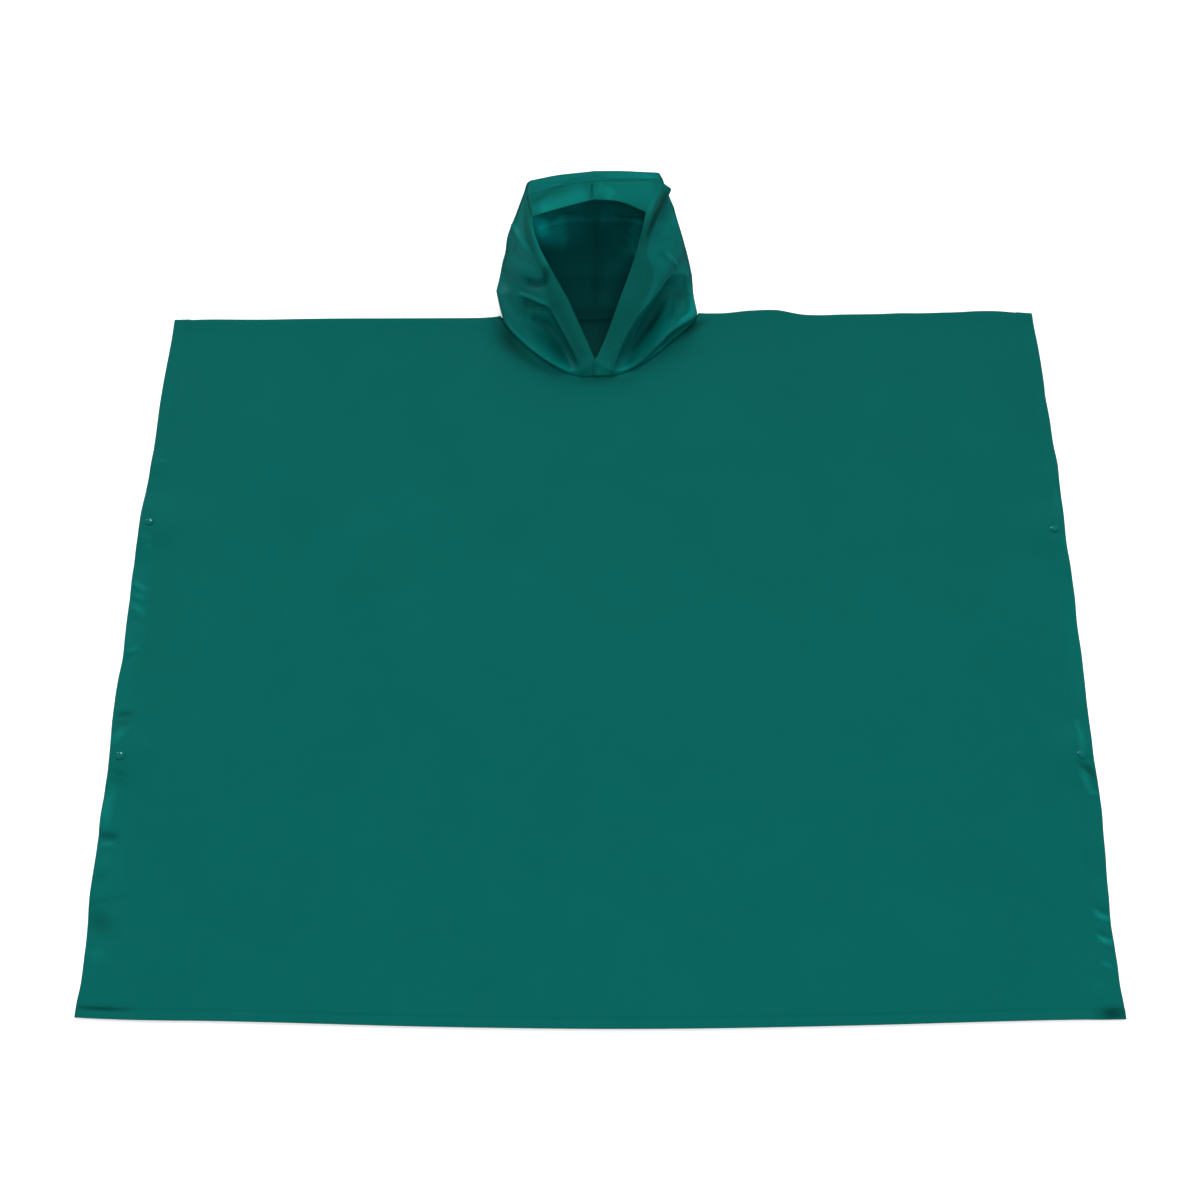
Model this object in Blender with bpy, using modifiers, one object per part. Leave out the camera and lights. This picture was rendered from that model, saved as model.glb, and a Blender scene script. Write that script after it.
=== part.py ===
"""Rain poncho in soft vinyl film, laid flat on its back with the hood standing open.

Metres, +Z up.  +Y runs from the hem to the hood and +X to the right as seen from the hem.
The origin lies on the surface that the poncho rests on, midway between the side edges and
midway between the shoulder line and the straight corners of the hem.

The body is one front and one back panel that lie on each other and meet at the shoulder
line.  The hood is two halves joined at a seam that runs from the nape over the crown to the
brow, with a turned hem round the face.  Two press studs a side hold the side edges together.
"""

import math

import bmesh
import bpy
import numpy as np

MM = 0.001
SIDES = {-1: "left", 1: "right"}

# Body, as laid flat
BODY_WIDTH = 1.270
BODY_LENGTH = 1.016
HALF_WIDTH = BODY_WIDTH / 2
SHOULDER_Y = BODY_LENGTH / 2
HEM_Y = -BODY_LENGTH / 2
SIDE_BOW = {-1: 0.0068, 1: 0.0058}
SIDE_BOW_MIDDLE = {-1: 0.50, 1: 0.38}
HEM_BOW = 0.0122

# Walls and seams
PANEL_WALL = 0.0012
HOOD_WALL = 0.0012
HEM_WALL = 0.0010
SEAM_GAP = 0.0003
FRONT_TOP = PANEL_WALL + SEAM_GAP + PANEL_WALL
FRONT_LOFT = 0.0014
FRONT_LOFT_REACH = 0.10

# Hems and the rolled shoulder
HEM_WIDTH = 0.012
SIDE_HEM_WIDTH = 0.024
SHOULDER_ROLL = 0.0055
SHOULDER_BLEND = 0.035
SHOULDER_SKIRT = 0.0006
BACK_TOP_Y = SHOULDER_Y - PANEL_WALL - SEAM_GAP

# Neck opening and hood seam.  The neck line runs from the centre front over the shoulder
# line to the centre back: x and y from the shoulder line, in millimetres.  Its first points,
# up to the shoulder corner, are also the edge of the front panel.
SEAM_X = -0.007
NECK_LINE = {
    -1: ((-7, -106), (-25, -106), (-44, -102), (-69, -89), (-90, -73), (-109, -53),
         (-127, -33), (-143, -13), (-149, -1.2), (-147, -1.2), (-141, -1.2), (-7, -1.2)),
    1: ((-7, -106), (18, -105), (36, -99), (60, -86), (82, -69), (102, -50),
        (122, -31), (138, -13), (144, -1.2), (142, -1.2), (136, -1.2), (-7, -1.2)),
}
SHOULDER_KNOT = 8
SHOULDER_EDGE_LIFT = 0.0030
NECK_MARGIN = 0.0007
NECK_LIFT = 0.0050
NECK_LIFT_REACH = 0.045

# Press studs: side, y.  All sit the same way in from the side edge.
STUDS = {
    "left_upper": (-1, 0.168),
    "left_lower": (-1, -0.1755),
    "right_upper": (1, 0.151),
    "right_lower": (1, -0.1755),
}
STUD_INSET = 0.014
STUD_CAP_RADIUS = 0.0060
STUD_CAP_HEIGHT = 0.0022
STUD_SHANK_RADIUS = 0.0019
STUD_HOLE_RADIUS = 0.0024
STUD_GAP = 0.0004
SOCKET_RADIUS = 0.0042
SOCKET_HEIGHT = 0.0026
SOCKET_BORE_RADIUS = 0.0025
SOCKET_BORE_DEPTH = 0.0020
BACK_CAP_RADIUS = 0.0052
BACK_CAP_HEIGHT = 0.0010
STUD_BALL_RADIUS = 0.0021
STUD_BALL_HEIGHT = 0.0014
STUD_STEPS = 12
CUSHION_FLAT = {"front": 0.011, "back": 0.007}
CUSHION_FALL = {"front": 0.018, "back": 0.0078}
CUTTER_LENGTH = 0.040

# Soft creases of the front panel: x and y of both ends, half width, height
FRONT_CREASES = (
    (-0.452, 0.290, -0.225, -0.085, 0.030, 0.0022),
    (-0.190, -0.110, -0.135, -0.190, 0.024, 0.0014),
    (0.095, 0.270, 0.170, 0.290, 0.022, 0.0016),
    (0.330, 0.135, 0.400, 0.152, 0.020, 0.0014),
    (0.425, -0.300, 0.520, -0.322, 0.026, 0.0018),
    (0.370, -0.395, 0.460, -0.455, 0.024, 0.0016),
    (-0.190, -0.385, -0.130, -0.392, 0.024, 0.0012),
    (0.165, -0.350, 0.220, -0.350, 0.024, 0.0012),
)

# Puckers that run in from a side edge: side, y at the edge, y at the inner end, reach,
# half width, height
EDGE_PUCKERS = (
    (-1, 0.262, 0.262, 0.030, 0.012, 0.0022),
    (-1, 0.130, 0.118, 0.045, 0.014, 0.0030),
    (-1, 0.078, 0.060, 0.055, 0.016, 0.0034),
    (-1, -0.020, -0.012, 0.045, 0.012, 0.0022),
    (-1, -0.138, -0.118, 0.075, 0.018, 0.0040),
    (-1, -0.210, -0.226, 0.045, 0.014, 0.0030),
    (-1, -0.256, -0.250, 0.045, 0.016, 0.0032),
    (-1, -0.345, -0.350, 0.050, 0.020, 0.0026),
    (1, 0.235, 0.215, 0.030, 0.016, 0.0022),
    (1, 0.100, 0.112, 0.050, 0.016, 0.0034),
    (1, -0.095, -0.110, 0.040, 0.020, 0.0024),
    (1, -0.205, -0.170, 0.055, 0.016, 0.0040),
    (1, -0.300, -0.296, 0.045, 0.016, 0.0028),
    (1, -0.372, -0.352, 0.040, 0.014, 0.0034),
    (1, -0.410, -0.402, 0.035, 0.012, 0.0030),
)

# Low humps of the shoulder line: x, height, half width
SHOULDER_HUMPS = (
    (0.238, 0.0095, 0.030),
    (0.550, 0.0060, 0.040),
)

# Hood.  A section runs from the face edge (rim) over a line within the hem (fold) and the
# outer edge of the hem (band), down the side wall (valley, crest, flank, heel), and along the
# surface (floor) to the centre back seam (spine).  The first section is the neck line, as
# places on it.  The others are x, y from the shoulder line, and z, in millimetres.
NECK_PLACES = (0, 0.5, 1, 2, 3, 5, 7, 10, 11)
HOOD_SECTIONS = {
    -1: {
        "roll": ((-7, -92, 26), (-16, -98, 23), (-26, -103, 19), (-43, -101, 14),
                 (-68, -94, 21), (-107, -66, 27), (-142, -22, 28), (-134, 16, 0), (-7, 18, 0)),
        "groove": ((-22, -62, 43), (-32, -69, 43), (-43, -73, 41), (-55, -54, 14),
                   (-82, -36, 13), (-114, -18, 20), (-148, 0, 30), (-133, 42, 0), (-7, 50, 0)),
        "ridge": ((-46, -18, 74), (-57, -24, 72), (-70, -29, 66), (-84, -21, 65),
                  (-103, -8, 60), (-126, 6, 53), (-152, 18, 42), (-130, 72, 0), (-7, 84, 0)),
        "cheek": ((-70, 17, 102), (-80, 13, 100), (-92, 12, 95), (-108, 20, 84),
                  (-128, 34, 73), (-141, 50, 60), (-145, 72, 38), (-126, 102, 0), (-7, 118, 0)),
        "temple": ((-88, 58, 130), (-96, 57, 127), (-107, 59, 118), (-121, 66, 105),
                   (-134, 80, 88), (-137, 94, 66), (-132, 112, 38), (-116, 134, 0), (-7, 150, 0)),
        "flap": ((-92, 68, 136), (-100, 78, 136), (-108, 89, 132), (-114, 102, 126),
                 (-123, 115, 107), (-125, 128, 76), (-119, 144, 38), (-104, 152, 0), (-7, 162, 0)),
        "corner": ((-95, 77, 140), (-100, 92, 143), (-104, 110, 146), (-102, 131, 151),
                   (-109, 148, 126), (-111, 160, 86), (-104, 168, 38), (-92, 166, 0),
                   (-7, 170, 0)),
        "brow": ((-53, 85, 149), (-54, 101, 155), (-56, 117, 160), (-57, 134, 163),
                 (-58, 152, 141), (-58, 168, 98), (-55, 180, 48), (-50, 182, 8), (-7, 178, 0)),
        "top": ((-7, 97, 152), (-7, 110, 157), (-7, 123, 162), (-7, 136, 165),
                (-7, 154, 143), (-7, 170, 100), (-7, 182, 50), (-7, 184, 14), (-7, 180, 0)),
    },
    1: {
        "roll": ((-7, -92, 26), (6, -99, 22), (18, -104, 17), (35, -99, 13),
                 (60, -87, 20), (102, -43, 23), (141, -11, 25), (130, 16, 0), (-7, 18, 0)),
        "groove": ((8, -62, 40), (19, -69, 39), (31, -73, 38), (46, -48, 13),
                   (72, -12, 16), (98, 8, 22), (134, 12, 33), (128, 44, 0), (-7, 50, 0)),
        "ridge": ((28, -20, 72), (41, -28, 67), (54, -35, 59), (69, -23, 65),
                  (84, -5, 69), (105, 20, 68), (132, 32, 51), (124, 76, 0), (-7, 84, 0)),
        "cheek": ((45, 17, 97), (60, 14, 92), (77, 14, 85), (92, 24, 86),
                  (107, 40, 83), (121, 60, 78), (129, 76, 47), (120, 104, 0), (-7, 118, 0)),
        "temple": ((60, 56, 127), (68, 64, 124), (74, 69, 109), (83, 74, 104),
                   (99, 83, 105), (112, 92, 103), (114, 116, 45), (104, 138, 0), (-7, 150, 0)),
        "flap": ((64, 74, 136), (84, 116, 143), (100, 126, 139), (99, 122, 121),
                 (104, 118, 114), (109, 128, 92), (107, 146, 42), (94, 154, 0), (-7, 162, 0)),
        "corner": ((66, 84, 140), (75, 112, 147), (82, 133, 152), (86, 148, 146),
                   (93, 154, 122), (98, 160, 86), (96, 168, 40), (80, 168, 0), (-7, 170, 0)),
        "brow": ((30, 95, 149), (32, 110, 155), (34, 125, 160), (37, 139, 162),
                 (38, 154, 141), (38, 168, 98), (36, 180, 48), (32, 182, 8), (-7, 178, 0)),
        "top": ((-7, 97, 152), (-7, 110, 157), (-7, 123, 162), (-7, 136, 165),
                (-7, 154, 143), (-7, 170, 100), (-7, 182, 50), (-7, 184, 14), (-7, 180, 0)),
    },
}
ACROSS_STEPS = (1, 1, 3, 3, 3, 3, 3, 4)
ALONG_STEPS = (2, 3, 4, 3, 3, 2, 2, 3, 3)
SHARP_COLUMNS = (1, 2)
SHARP_ROWS = {-1: (3, 7), 1: (3, 6, 7)}
BAND_STEPS = sum(ACROSS_STEPS[:2])
FRONT_SEAM_STEPS = ALONG_STEPS[0]
SHOULDER_STEPS = sum(ACROSS_STEPS[:6]) + 1
NECK_SEAM_DROP = 0.0006

# Mesh steps of the panels
PANEL_INSETS = {
    -1: (0.0, STUD_INSET, SIDE_HEM_WIDTH, 0.042, 0.070, 0.115, 0.180, 0.270, 0.370),
    1: (0.0, STUD_INSET, SIDE_HEM_WIDTH, 0.042, 0.062, 0.085, 0.118, 0.180, 0.270, 0.360,
        0.397, 0.430),
}
BACK_NECK_SHARES = (1.0, 0.5)
FRONT_ROW_STEP = 0.034
CUSHION_ROW_STEP = 0.0256
BACK_ROW_STEP = 0.090
HEM_BLEND = 0.15
NECK_BLEND = 0.33
ROLL_STEPS = 4

FILM_COLOR = (0.012, 0.150, 0.135, 1.0)
HOOD_COLOR = (0.014, 0.135, 0.122, 1.0)
HEM_COLOR = (0.016, 0.165, 0.150, 1.0)
STUD_COLOR = (0.040, 0.230, 0.215, 1.0)
FILM_ROUGHNESS = 0.42
STUD_ROUGHNESS = 0.30
SHARP_ANGLE = math.radians(50)


def clear_scene():
    """Remove every object of the scene."""
    for old in list(bpy.data.objects):
        bpy.data.objects.remove(old, do_unlink=True)


def make_collection(name):
    """Return a new collection linked to the scene."""
    group = bpy.data.collections.new(name)
    bpy.context.scene.collection.children.link(group)
    return group


def plastic(name, color, roughness):
    """Return a Principled material for film or moulded plastic."""
    finish = bpy.data.materials.new(name)
    finish.use_nodes = True
    shader = finish.node_tree.nodes["Principled BSDF"]
    shader.inputs["Base Color"].default_value = color
    shader.inputs["Roughness"].default_value = roughness
    shader.inputs["Metallic"].default_value = 0.0
    finish.diffuse_color = color
    return finish


def add_object(name, mesh, finish, group):
    """Link a new object that shows the mesh in the finish."""
    part = bpy.data.objects.new(name, mesh)
    if finish is not None:
        mesh.materials.append(finish)
    group.objects.link(part)
    return part


def bell(distance, half_width):
    """One at no distance, falling smoothly to nothing at 2.2 half widths."""
    ratio = abs(distance) / (2.2 * half_width)
    return (1.0 - ratio * ratio) ** 2 if ratio < 1.0 else 0.0


def fade(distance, reach):
    """One at no distance, falling as a square to nothing at the reach."""
    return max(1.0 - distance / reach, 0.0) ** 2


def stations(fixed, step):
    """The fixed values and even steps between them, none longer than the step."""
    values = [fixed[0]]
    for low, high in zip(fixed, fixed[1:]):
        count = max(math.ceil((high - low) / step - 1e-6), 1)
        values.extend(low + (high - low) * (k + 1) / count for k in range(count))
    return values


def smooth_through(points, steps, sharp=()):
    """Points on a smooth curve through the given ones, `steps` of them in each interval.

    The curve turns sharply at the points whose numbers are in `sharp`.
    """
    points = np.asarray(points, dtype=float)
    chords = np.diff(points, axis=0)
    spans = np.maximum(np.sqrt(np.linalg.norm(chords, axis=1)), 1e-6)
    slopes = chords / spans[:, None]
    leaving = slopes.copy()
    arriving = slopes.copy()
    for i in range(1, len(points) - 1):
        if i in sharp:
            continue
        before, after = spans[i - 1], spans[i]
        tangent = (slopes[i - 1] * after + slopes[i] * before) / (before + after)
        arriving[i - 1] = tangent
        leaving[i] = tangent
    curve = []
    for i, count in enumerate(steps):
        for k in range(count):
            s = k / count
            curve.append(
                points[i] * (2 * s ** 3 - 3 * s ** 2 + 1)
                + leaving[i] * spans[i] * (s ** 3 - 2 * s ** 2 + s)
                + points[i + 1] * (3 * s ** 2 - 2 * s ** 3)
                + arriving[i] * spans[i] * (s ** 3 - s ** 2)
            )
    curve.append(points[-1])
    return np.array(curve)


# Outline of the body

def side_edge(side, y):
    """Distance of a side edge from the centre line, with its slight outward bow."""
    along = min(max((SHOULDER_Y - y) / BODY_LENGTH, 0.0), 1.0)
    skewed = along ** (math.log(0.5) / math.log(SIDE_BOW_MIDDLE[side]))
    return HALF_WIDTH + SIDE_BOW[side] * math.sin(math.pi * skewed)


def hem_edge(x):
    """The bottom edge's y at x, bowed down between its corners."""
    across = min(abs(x) / HALF_WIDTH, 1.0)
    return HEM_Y - HEM_BOW * math.cos(0.5 * math.pi * across) ** 1.5


def shoulder_edge(x):
    """The shoulder line's y at x, with its low humps."""
    return SHOULDER_Y + sum(rise * bell(x - at, half) for at, rise, half in SHOULDER_HUMPS)


def neck_points(side):
    """The neck line of one side, in metres."""
    return np.array(NECK_LINE[side]) * MM + (0.0, SHOULDER_Y)


def neck_place(side, place):
    """Plan point at a place on the neck line; whole places are its given points."""
    points = neck_points(side)
    numbers = range(len(points))
    return np.interp(place, numbers, points[:, 0]), np.interp(place, numbers, points[:, 1])


def front_neck_edge(side):
    """Edge of the front panel from the shoulder corner to beside the centre front."""
    points = neck_points(side)
    edge = [(points[SHOULDER_KNOT][0] + side * NECK_MARGIN, SHOULDER_Y - SHOULDER_ROLL)]
    for i in range(SHOULDER_KNOT - 1, 0, -1):
        dx, dy = points[i + 1] - points[i - 1]
        length = math.hypot(dx, dy)
        out_x, out_y = side * dy / length, -side * dx / length
        edge.append((points[i][0] + NECK_MARGIN * out_x, points[i][1] + NECK_MARGIN * out_y))
    return edge


def neck_distance(x, y):
    """Distance from the front half of the neck line."""
    points = neck_points(-1 if x < SEAM_X else 1)[: SHOULDER_KNOT + 1]
    nearest = NECK_LIFT_REACH
    for (x0, y0), (x1, y1) in zip(points, points[1:]):
        dx, dy = x1 - x0, y1 - y0
        share = ((x - x0) * dx + (y - y0) * dy) / (dx * dx + dy * dy)
        share = min(max(share, 0.0), 1.0)
        nearest = min(nearest, math.hypot(x - x0 - share * dx, y - y0 - share * dy))
    return nearest


def stud_place(name):
    """Plan point of a press stud."""
    side, y = STUDS[name]
    return side * (side_edge(side, y) - STUD_INSET), y


def stud_cushion(x, y, panel):
    """One at and close round a press stud, falling to nothing away from it."""
    nearest = min(math.hypot(x - px, y - py) for px, py in map(stud_place, STUDS))
    return bell(max(nearest - CUSHION_FLAT[panel], 0.0), CUSHION_FALL[panel])


# Heights of the body

def back_lift(x, y):
    """Height of the back panel's underside: flat, but for room for the studs' back caps."""
    return (BACK_CAP_HEIGHT + STUD_GAP) * stud_cushion(x, y, "back")


def crease_height(x, y):
    """Height of the long soft creases of the front panel."""
    height = 0.0
    for x0, y0, x1, y1, half_width, rise in FRONT_CREASES:
        length = math.hypot(x1 - x0, y1 - y0)
        ux, uy = (x1 - x0) / length, (y1 - y0) / length
        along = (x - x0) * ux + (y - y0) * uy
        off = (y - y0) * ux - (x - x0) * uy
        past = max(-along, along - length, 0.0)
        height += rise * bell(off, half_width) * bell(past, 1.6 * half_width)
    return height


def pucker_height(x, y):
    """Height of the puckers that run in from the side edges."""
    height = 0.0
    for side, y_edge, y_inner, reach, half_width, rise in EDGE_PUCKERS:
        inset = max(side_edge(side, y) - side * x, 0.0)
        off = y - (y_edge + (y_inner - y_edge) * inset / reach)
        height += rise * fade(inset, reach) * bell(off, half_width)
    return height


def stud_stack():
    """Height of the front panel's outer face where a press stud holds it."""
    walls = BACK_CAP_HEIGHT + PANEL_WALL + SOCKET_HEIGHT + PANEL_WALL
    return walls + 3 * STUD_GAP


def front_height(x, y):
    """Height of the outer face of the front panel."""
    inset = min(side_edge(-1, y) + x, side_edge(1, y) - x)
    height = FRONT_TOP + FRONT_LOFT * min(max(inset, 0.0) / FRONT_LOFT_REACH, 1.0)
    height += crease_height(x, y) + pucker_height(x, y)
    height += NECK_LIFT * fade(neck_distance(x, y), NECK_LIFT_REACH)
    shoulder = fade(max(shoulder_edge(x) - SHOULDER_ROLL - y, 0.0), SHOULDER_BLEND)
    height += (SHOULDER_ROLL - height) * shoulder * (1.0 - fade(neck_distance(x, y), 0.02))
    return height + (stud_stack() - height) * stud_cushion(x, y, "front")


# Grids of the panels

def panel_column(side, inset, top_x, bottom_x, ys, top_y, height):
    """Points of one column from the hem to its top."""
    points = []
    top_base, span = ys[-1], ys[-1] - ys[0]
    for y in ys:
        up = (y - ys[0]) / span
        x = bottom_x + (top_x - bottom_x) * up ** 3
        if inset is not None:
            x = side * (side_edge(side, y) - inset)
        y_hem = hem_edge(x) - HEM_Y
        y_here = y + y_hem * max(1.0 - (y - HEM_Y) / HEM_BLEND, 0.0)
        y_here += (top_y - top_base) * max(1.0 - (top_base - y) / NECK_BLEND, 0.0)
        points.append((x, y_here, height(x, y_here)))
    return points


def panel_columns(necks, ys, top_edge, height):
    """Columns of a panel from the side edges in; `necks` gives top points per side."""
    columns = {}
    for side in SIDES:
        corner = necks[side][0]
        corner_inset = HALF_WIDTH - side * corner[0]
        half = []
        for inset in PANEL_INSETS[side]:
            x = side * (side_edge(side, ys[-1]) - inset)
            half.append(panel_column(side, inset, x, x, ys, top_edge(x), height))
        for k, (x, y) in enumerate(necks[side]):
            share = 1.0 - k / len(necks[side])
            bottom_x = SEAM_X + (corner[0] - SEAM_X) * share
            inset = corner_inset if k == 0 else None
            half.append(panel_column(side, inset, x, bottom_x, ys, y, height))
        columns[side] = half
    return columns


def join_columns(columns, middle):
    """Grid of rows from the hem up, each from left to right."""
    ordered = columns[-1] + [middle] + columns[1][::-1]
    return [[column[r] for column in ordered] for r in range(len(middle))]


def cushion_rows(centres):
    """The y of rows through the press studs and to both sides of each."""
    return sorted({y + k * CUSHION_ROW_STEP for y in centres for k in (-1, 0, 1)})


def front_grid():
    """Grid of the front panel's outer face, from the hem to the shoulder and neck."""
    top = SHOULDER_Y - SHOULDER_ROLL
    centres = sorted({y for _, y in STUDS.values()})
    ys = stations([HEM_Y, HEM_Y + HEM_WIDTH] + cushion_rows(centres) + [top], FRONT_ROW_STEP)
    necks = {side: front_neck_edge(side) for side in SIDES}
    columns = panel_columns(
        necks, ys, lambda x: shoulder_edge(x) - SHOULDER_ROLL, front_height
    )
    centre_y = SHOULDER_Y + NECK_LINE[1][0][1] * MM - NECK_MARGIN
    middle = panel_column(1, None, SEAM_X, SEAM_X, ys, centre_y, front_height)
    return join_columns(columns, middle)


def back_grid():
    """Grid of the back panel's underside, from the hem to the shoulder line."""
    centres = sorted({y for _, y in STUDS.values()})
    ys = stations([HEM_Y] + cushion_rows(centres) + [BACK_TOP_Y], BACK_ROW_STEP)
    necks = {}
    for side in SIDES:
        corner = front_neck_edge(side)[0][0]
        necks[side] = [
            (SEAM_X + (corner - SEAM_X) * share, BACK_TOP_Y) for share in BACK_NECK_SHARES
        ]
    edge_drop = SHOULDER_Y - BACK_TOP_Y
    columns = panel_columns(necks, ys, lambda x: shoulder_edge(x) - edge_drop, back_lift)
    middle = panel_column(1, None, SEAM_X, SEAM_X, ys, BACK_TOP_Y, back_lift)
    return join_columns(columns, middle)


# Walls

def grid_faces(rows, columns, start=0):
    """Triangles of a grid of points, numbered row by row, all split the same way."""
    faces = []
    for r in range(rows - 1):
        for c in range(columns - 1):
            corner = start + r * columns + c
            above = corner + columns
            faces.append((corner, corner + 1, above + 1))
            faces.append((corner, above + 1, above))
    return faces


def surface_object(name, points, faces, finish, group):
    """Object of an open surface whose faces point up or out."""
    mesh = bpy.data.meshes.new(name)
    mesh.from_pydata([tuple(p) for p in points], [], faces)
    mesh.update()
    return add_object(name, mesh, finish, group)


def solidify(part, thickness, offset):
    """Give an open surface its wall."""
    wall = part.modifiers.new("wall", "SOLIDIFY")
    wall.thickness = thickness
    wall.offset = offset
    wall.use_even_offset = True


def pierce(part, cutters):
    """Cut the press studs' holes through a wall."""
    for cutter in cutters:
        hole = part.modifiers.new("hole_" + cutter.name, "BOOLEAN")
        hole.operation = "DIFFERENCE"
        hole.solver = "EXACT"
        hole.object = cutter


def grid_normals(grid, outward):
    """Unit normals of a grid of points, each the mean of the quads about it."""
    rows, columns = grid.shape[:2]
    rising = grid[1:, 1:] - grid[:-1, :-1]
    falling = grid[1:, :-1] - grid[:-1, 1:]
    quads = np.cross(rising, falling) * outward
    quads /= np.maximum(np.linalg.norm(quads, axis=2, keepdims=True), 1e-12)
    normals = np.zeros_like(grid)
    for r in (0, 1):
        for c in (0, 1):
            normals[r: r + rows - 1, c: c + columns - 1] += quads
    return normals / np.maximum(np.linalg.norm(normals, axis=2, keepdims=True), 1e-12)


def closed_wall(name, outer, inner, finish, group):
    """Object of a closed wall between an outer and an inner grid of the same size."""
    rows, columns = outer.shape[:2]
    count = rows * columns
    faces = grid_faces(rows, columns)
    faces += [tuple(reversed(face)) for face in grid_faces(rows, columns, count)]
    border = [(0, c) for c in range(columns)]
    border += [(r, columns - 1) for r in range(1, rows)]
    border += [(rows - 1, c) for c in range(columns - 2, -1, -1)]
    border += [(r, 0) for r in range(rows - 2, 0, -1)]
    ring = [r * columns + c for r, c in border]
    for here, there in zip(ring, ring[1:] + ring[:1]):
        faces.append((there, here, here + count, there + count))
    mesh = bpy.data.meshes.new(name)
    points = np.concatenate([outer.reshape(-1, 3), inner.reshape(-1, 3)])
    mesh.from_pydata([tuple(p) for p in points], [], faces)
    shell = bmesh.new()
    shell.from_mesh(mesh)
    bmesh.ops.recalc_face_normals(shell, faces=shell.faces)
    shell.to_mesh(mesh)
    shell.free()
    mesh.shade_smooth()
    mesh.set_sharp_from_angle(angle=SHARP_ANGLE)
    return add_object(name, mesh, finish, group)


# Body pieces

def shoulder_roll(edge):
    """Rings of a shoulder edge rolled over down to the surface, top ring first."""
    rings = []
    for k in range(1, ROLL_STEPS + 1):
        turn = 0.5 * math.pi * k / ROLL_STEPS
        rings.append([
            (x, y + SHOULDER_ROLL * math.sin(turn),
             SHOULDER_SKIRT + (z - SHOULDER_SKIRT) * math.cos(turn))
            for x, y, z in edge
        ])
    rings.append([(x, y, 0.0) for x, y, _ in rings[-1]])
    return rings


def front_panel(grid, finish, group):
    """The front panel, rolled over the shoulder line down to the surface."""
    rows, columns = len(grid), len(grid[0])
    points = [point for row in grid for point in row]
    faces = grid_faces(rows, columns)
    left_count = len(PANEL_INSETS[-1]) + 1
    right_count = len(PANEL_INSETS[1]) + 1
    blocks = (range(left_count), range(columns - right_count, columns))
    for block in blocks:
        ring = [(rows - 1) * columns + c for c in block]
        for level in shoulder_roll([grid[-1][c] for c in block]):
            lifted = list(range(len(points), len(points) + len(level)))
            points.extend(level)
            for i in range(len(ring) - 1):
                faces.append((ring[i], ring[i + 1], lifted[i + 1]))
                faces.append((ring[i], lifted[i + 1], lifted[i]))
            ring = lifted
    part = surface_object("front_panel", points, faces, finish, group)
    solidify(part, PANEL_WALL, -1.0)
    return part


def back_panel(grid, finish, group):
    """The back panel, flat on the surface."""
    points = [point for row in grid for point in row]
    faces = grid_faces(len(grid), len(grid[0]))
    part = surface_object("back_panel", points, faces, finish, group)
    solidify(part, PANEL_WALL, 1.0)
    return part


def hem_band(name, grid, rows, columns, start_shift, finish, group):
    """A turned hem that lies on the front panel over the given rows and columns."""
    grid = np.array(grid)
    normals = grid_normals(grid, 1.0)
    base = grid[np.ix_(rows, columns)]
    up = normals[np.ix_(rows, columns)]
    inner = base + up * SEAM_GAP
    outer = base + up * (SEAM_GAP + HEM_WALL)
    for layer in (inner, outer):
        layer[0, :, 1] += start_shift
    return closed_wall(name, outer, inner, finish, group)


# Hood

def neck_seam_height(side, place):
    """Height of the hood's lower edge: on the front panel, then down to the surface."""
    x, y = neck_place(side, min(place, SHOULDER_KNOT - 1))
    front = front_height(x, y) - NECK_SEAM_DROP
    levels = (front, SHOULDER_EDGE_LIFT, 0.0)
    places = (SHOULDER_KNOT - 1, SHOULDER_KNOT, SHOULDER_KNOT + 1)
    return np.interp(place, places, levels)


def keep_to_side(grid, side):
    """Hold a half of the hood on its side of the seam plane and above the surface."""
    limit = SEAM_X + side * 0.5 * SEAM_GAP
    grid[..., 0] = np.maximum(grid[..., 0], limit) if side > 0 else np.minimum(grid[..., 0], limit)
    grid[..., 2] = np.maximum(grid[..., 2], 0.0)
    return grid


def neck_steps():
    """Places on the neck line for each column of a hood half."""
    places = []
    for low, high, count in zip(NECK_PLACES, NECK_PLACES[1:], ACROSS_STEPS):
        places.extend(low + (high - low) * k / count for k in range(count))
    return places + [NECK_PLACES[-1]]


def neck_row(side, places):
    """Points of the hood's lower edge at places on the neck line."""
    return [(*neck_place(side, place), neck_seam_height(side, place)) for place in places]


def hood_grid(side):
    """Grid of a hood half's outer face: rows from the neck up, columns from rim to spine."""
    sections = [neck_row(side, NECK_PLACES)]
    for section in HOOD_SECTIONS[side].values():
        sections.append([(x * MM, y * MM + SHOULDER_Y, z * MM) for x, y, z in section])
    across = [smooth_through(section, ACROSS_STEPS, SHARP_COLUMNS) for section in sections]
    columns = [smooth_through(column, ALONG_STEPS, SHARP_ROWS[side]) for column in zip(*across)]
    grid = np.array(columns).transpose(1, 0, 2)
    grid[0] = neck_row(side, neck_steps())
    seam = SEAM_X + side * 0.5 * SEAM_GAP
    grid[-1, :, 0] = seam
    grid[:, -1, 0] = seam
    return keep_to_side(grid, side)


def hood_normals(grid, side):
    """Outward normals of a hood half, kept within the planes of its seams."""
    normals = grid_normals(grid, side)
    normals[0, SHOULDER_STEPS:, 1] = 0.0
    normals[-1, :, 0] = 0.0
    normals[:, -1, 0] = 0.0
    normals[: FRONT_SEAM_STEPS + 1, 0, 0] = 0.0
    length = np.linalg.norm(normals, axis=2, keepdims=True)
    return normals / np.maximum(length, 1e-12)


def hood_half(side, grid, normals, finish, group):
    """One half of the hood."""
    inner = keep_to_side(grid - normals * HOOD_WALL, side)
    return closed_wall("hood_" + SIDES[side], grid, inner, finish, group)


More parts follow.
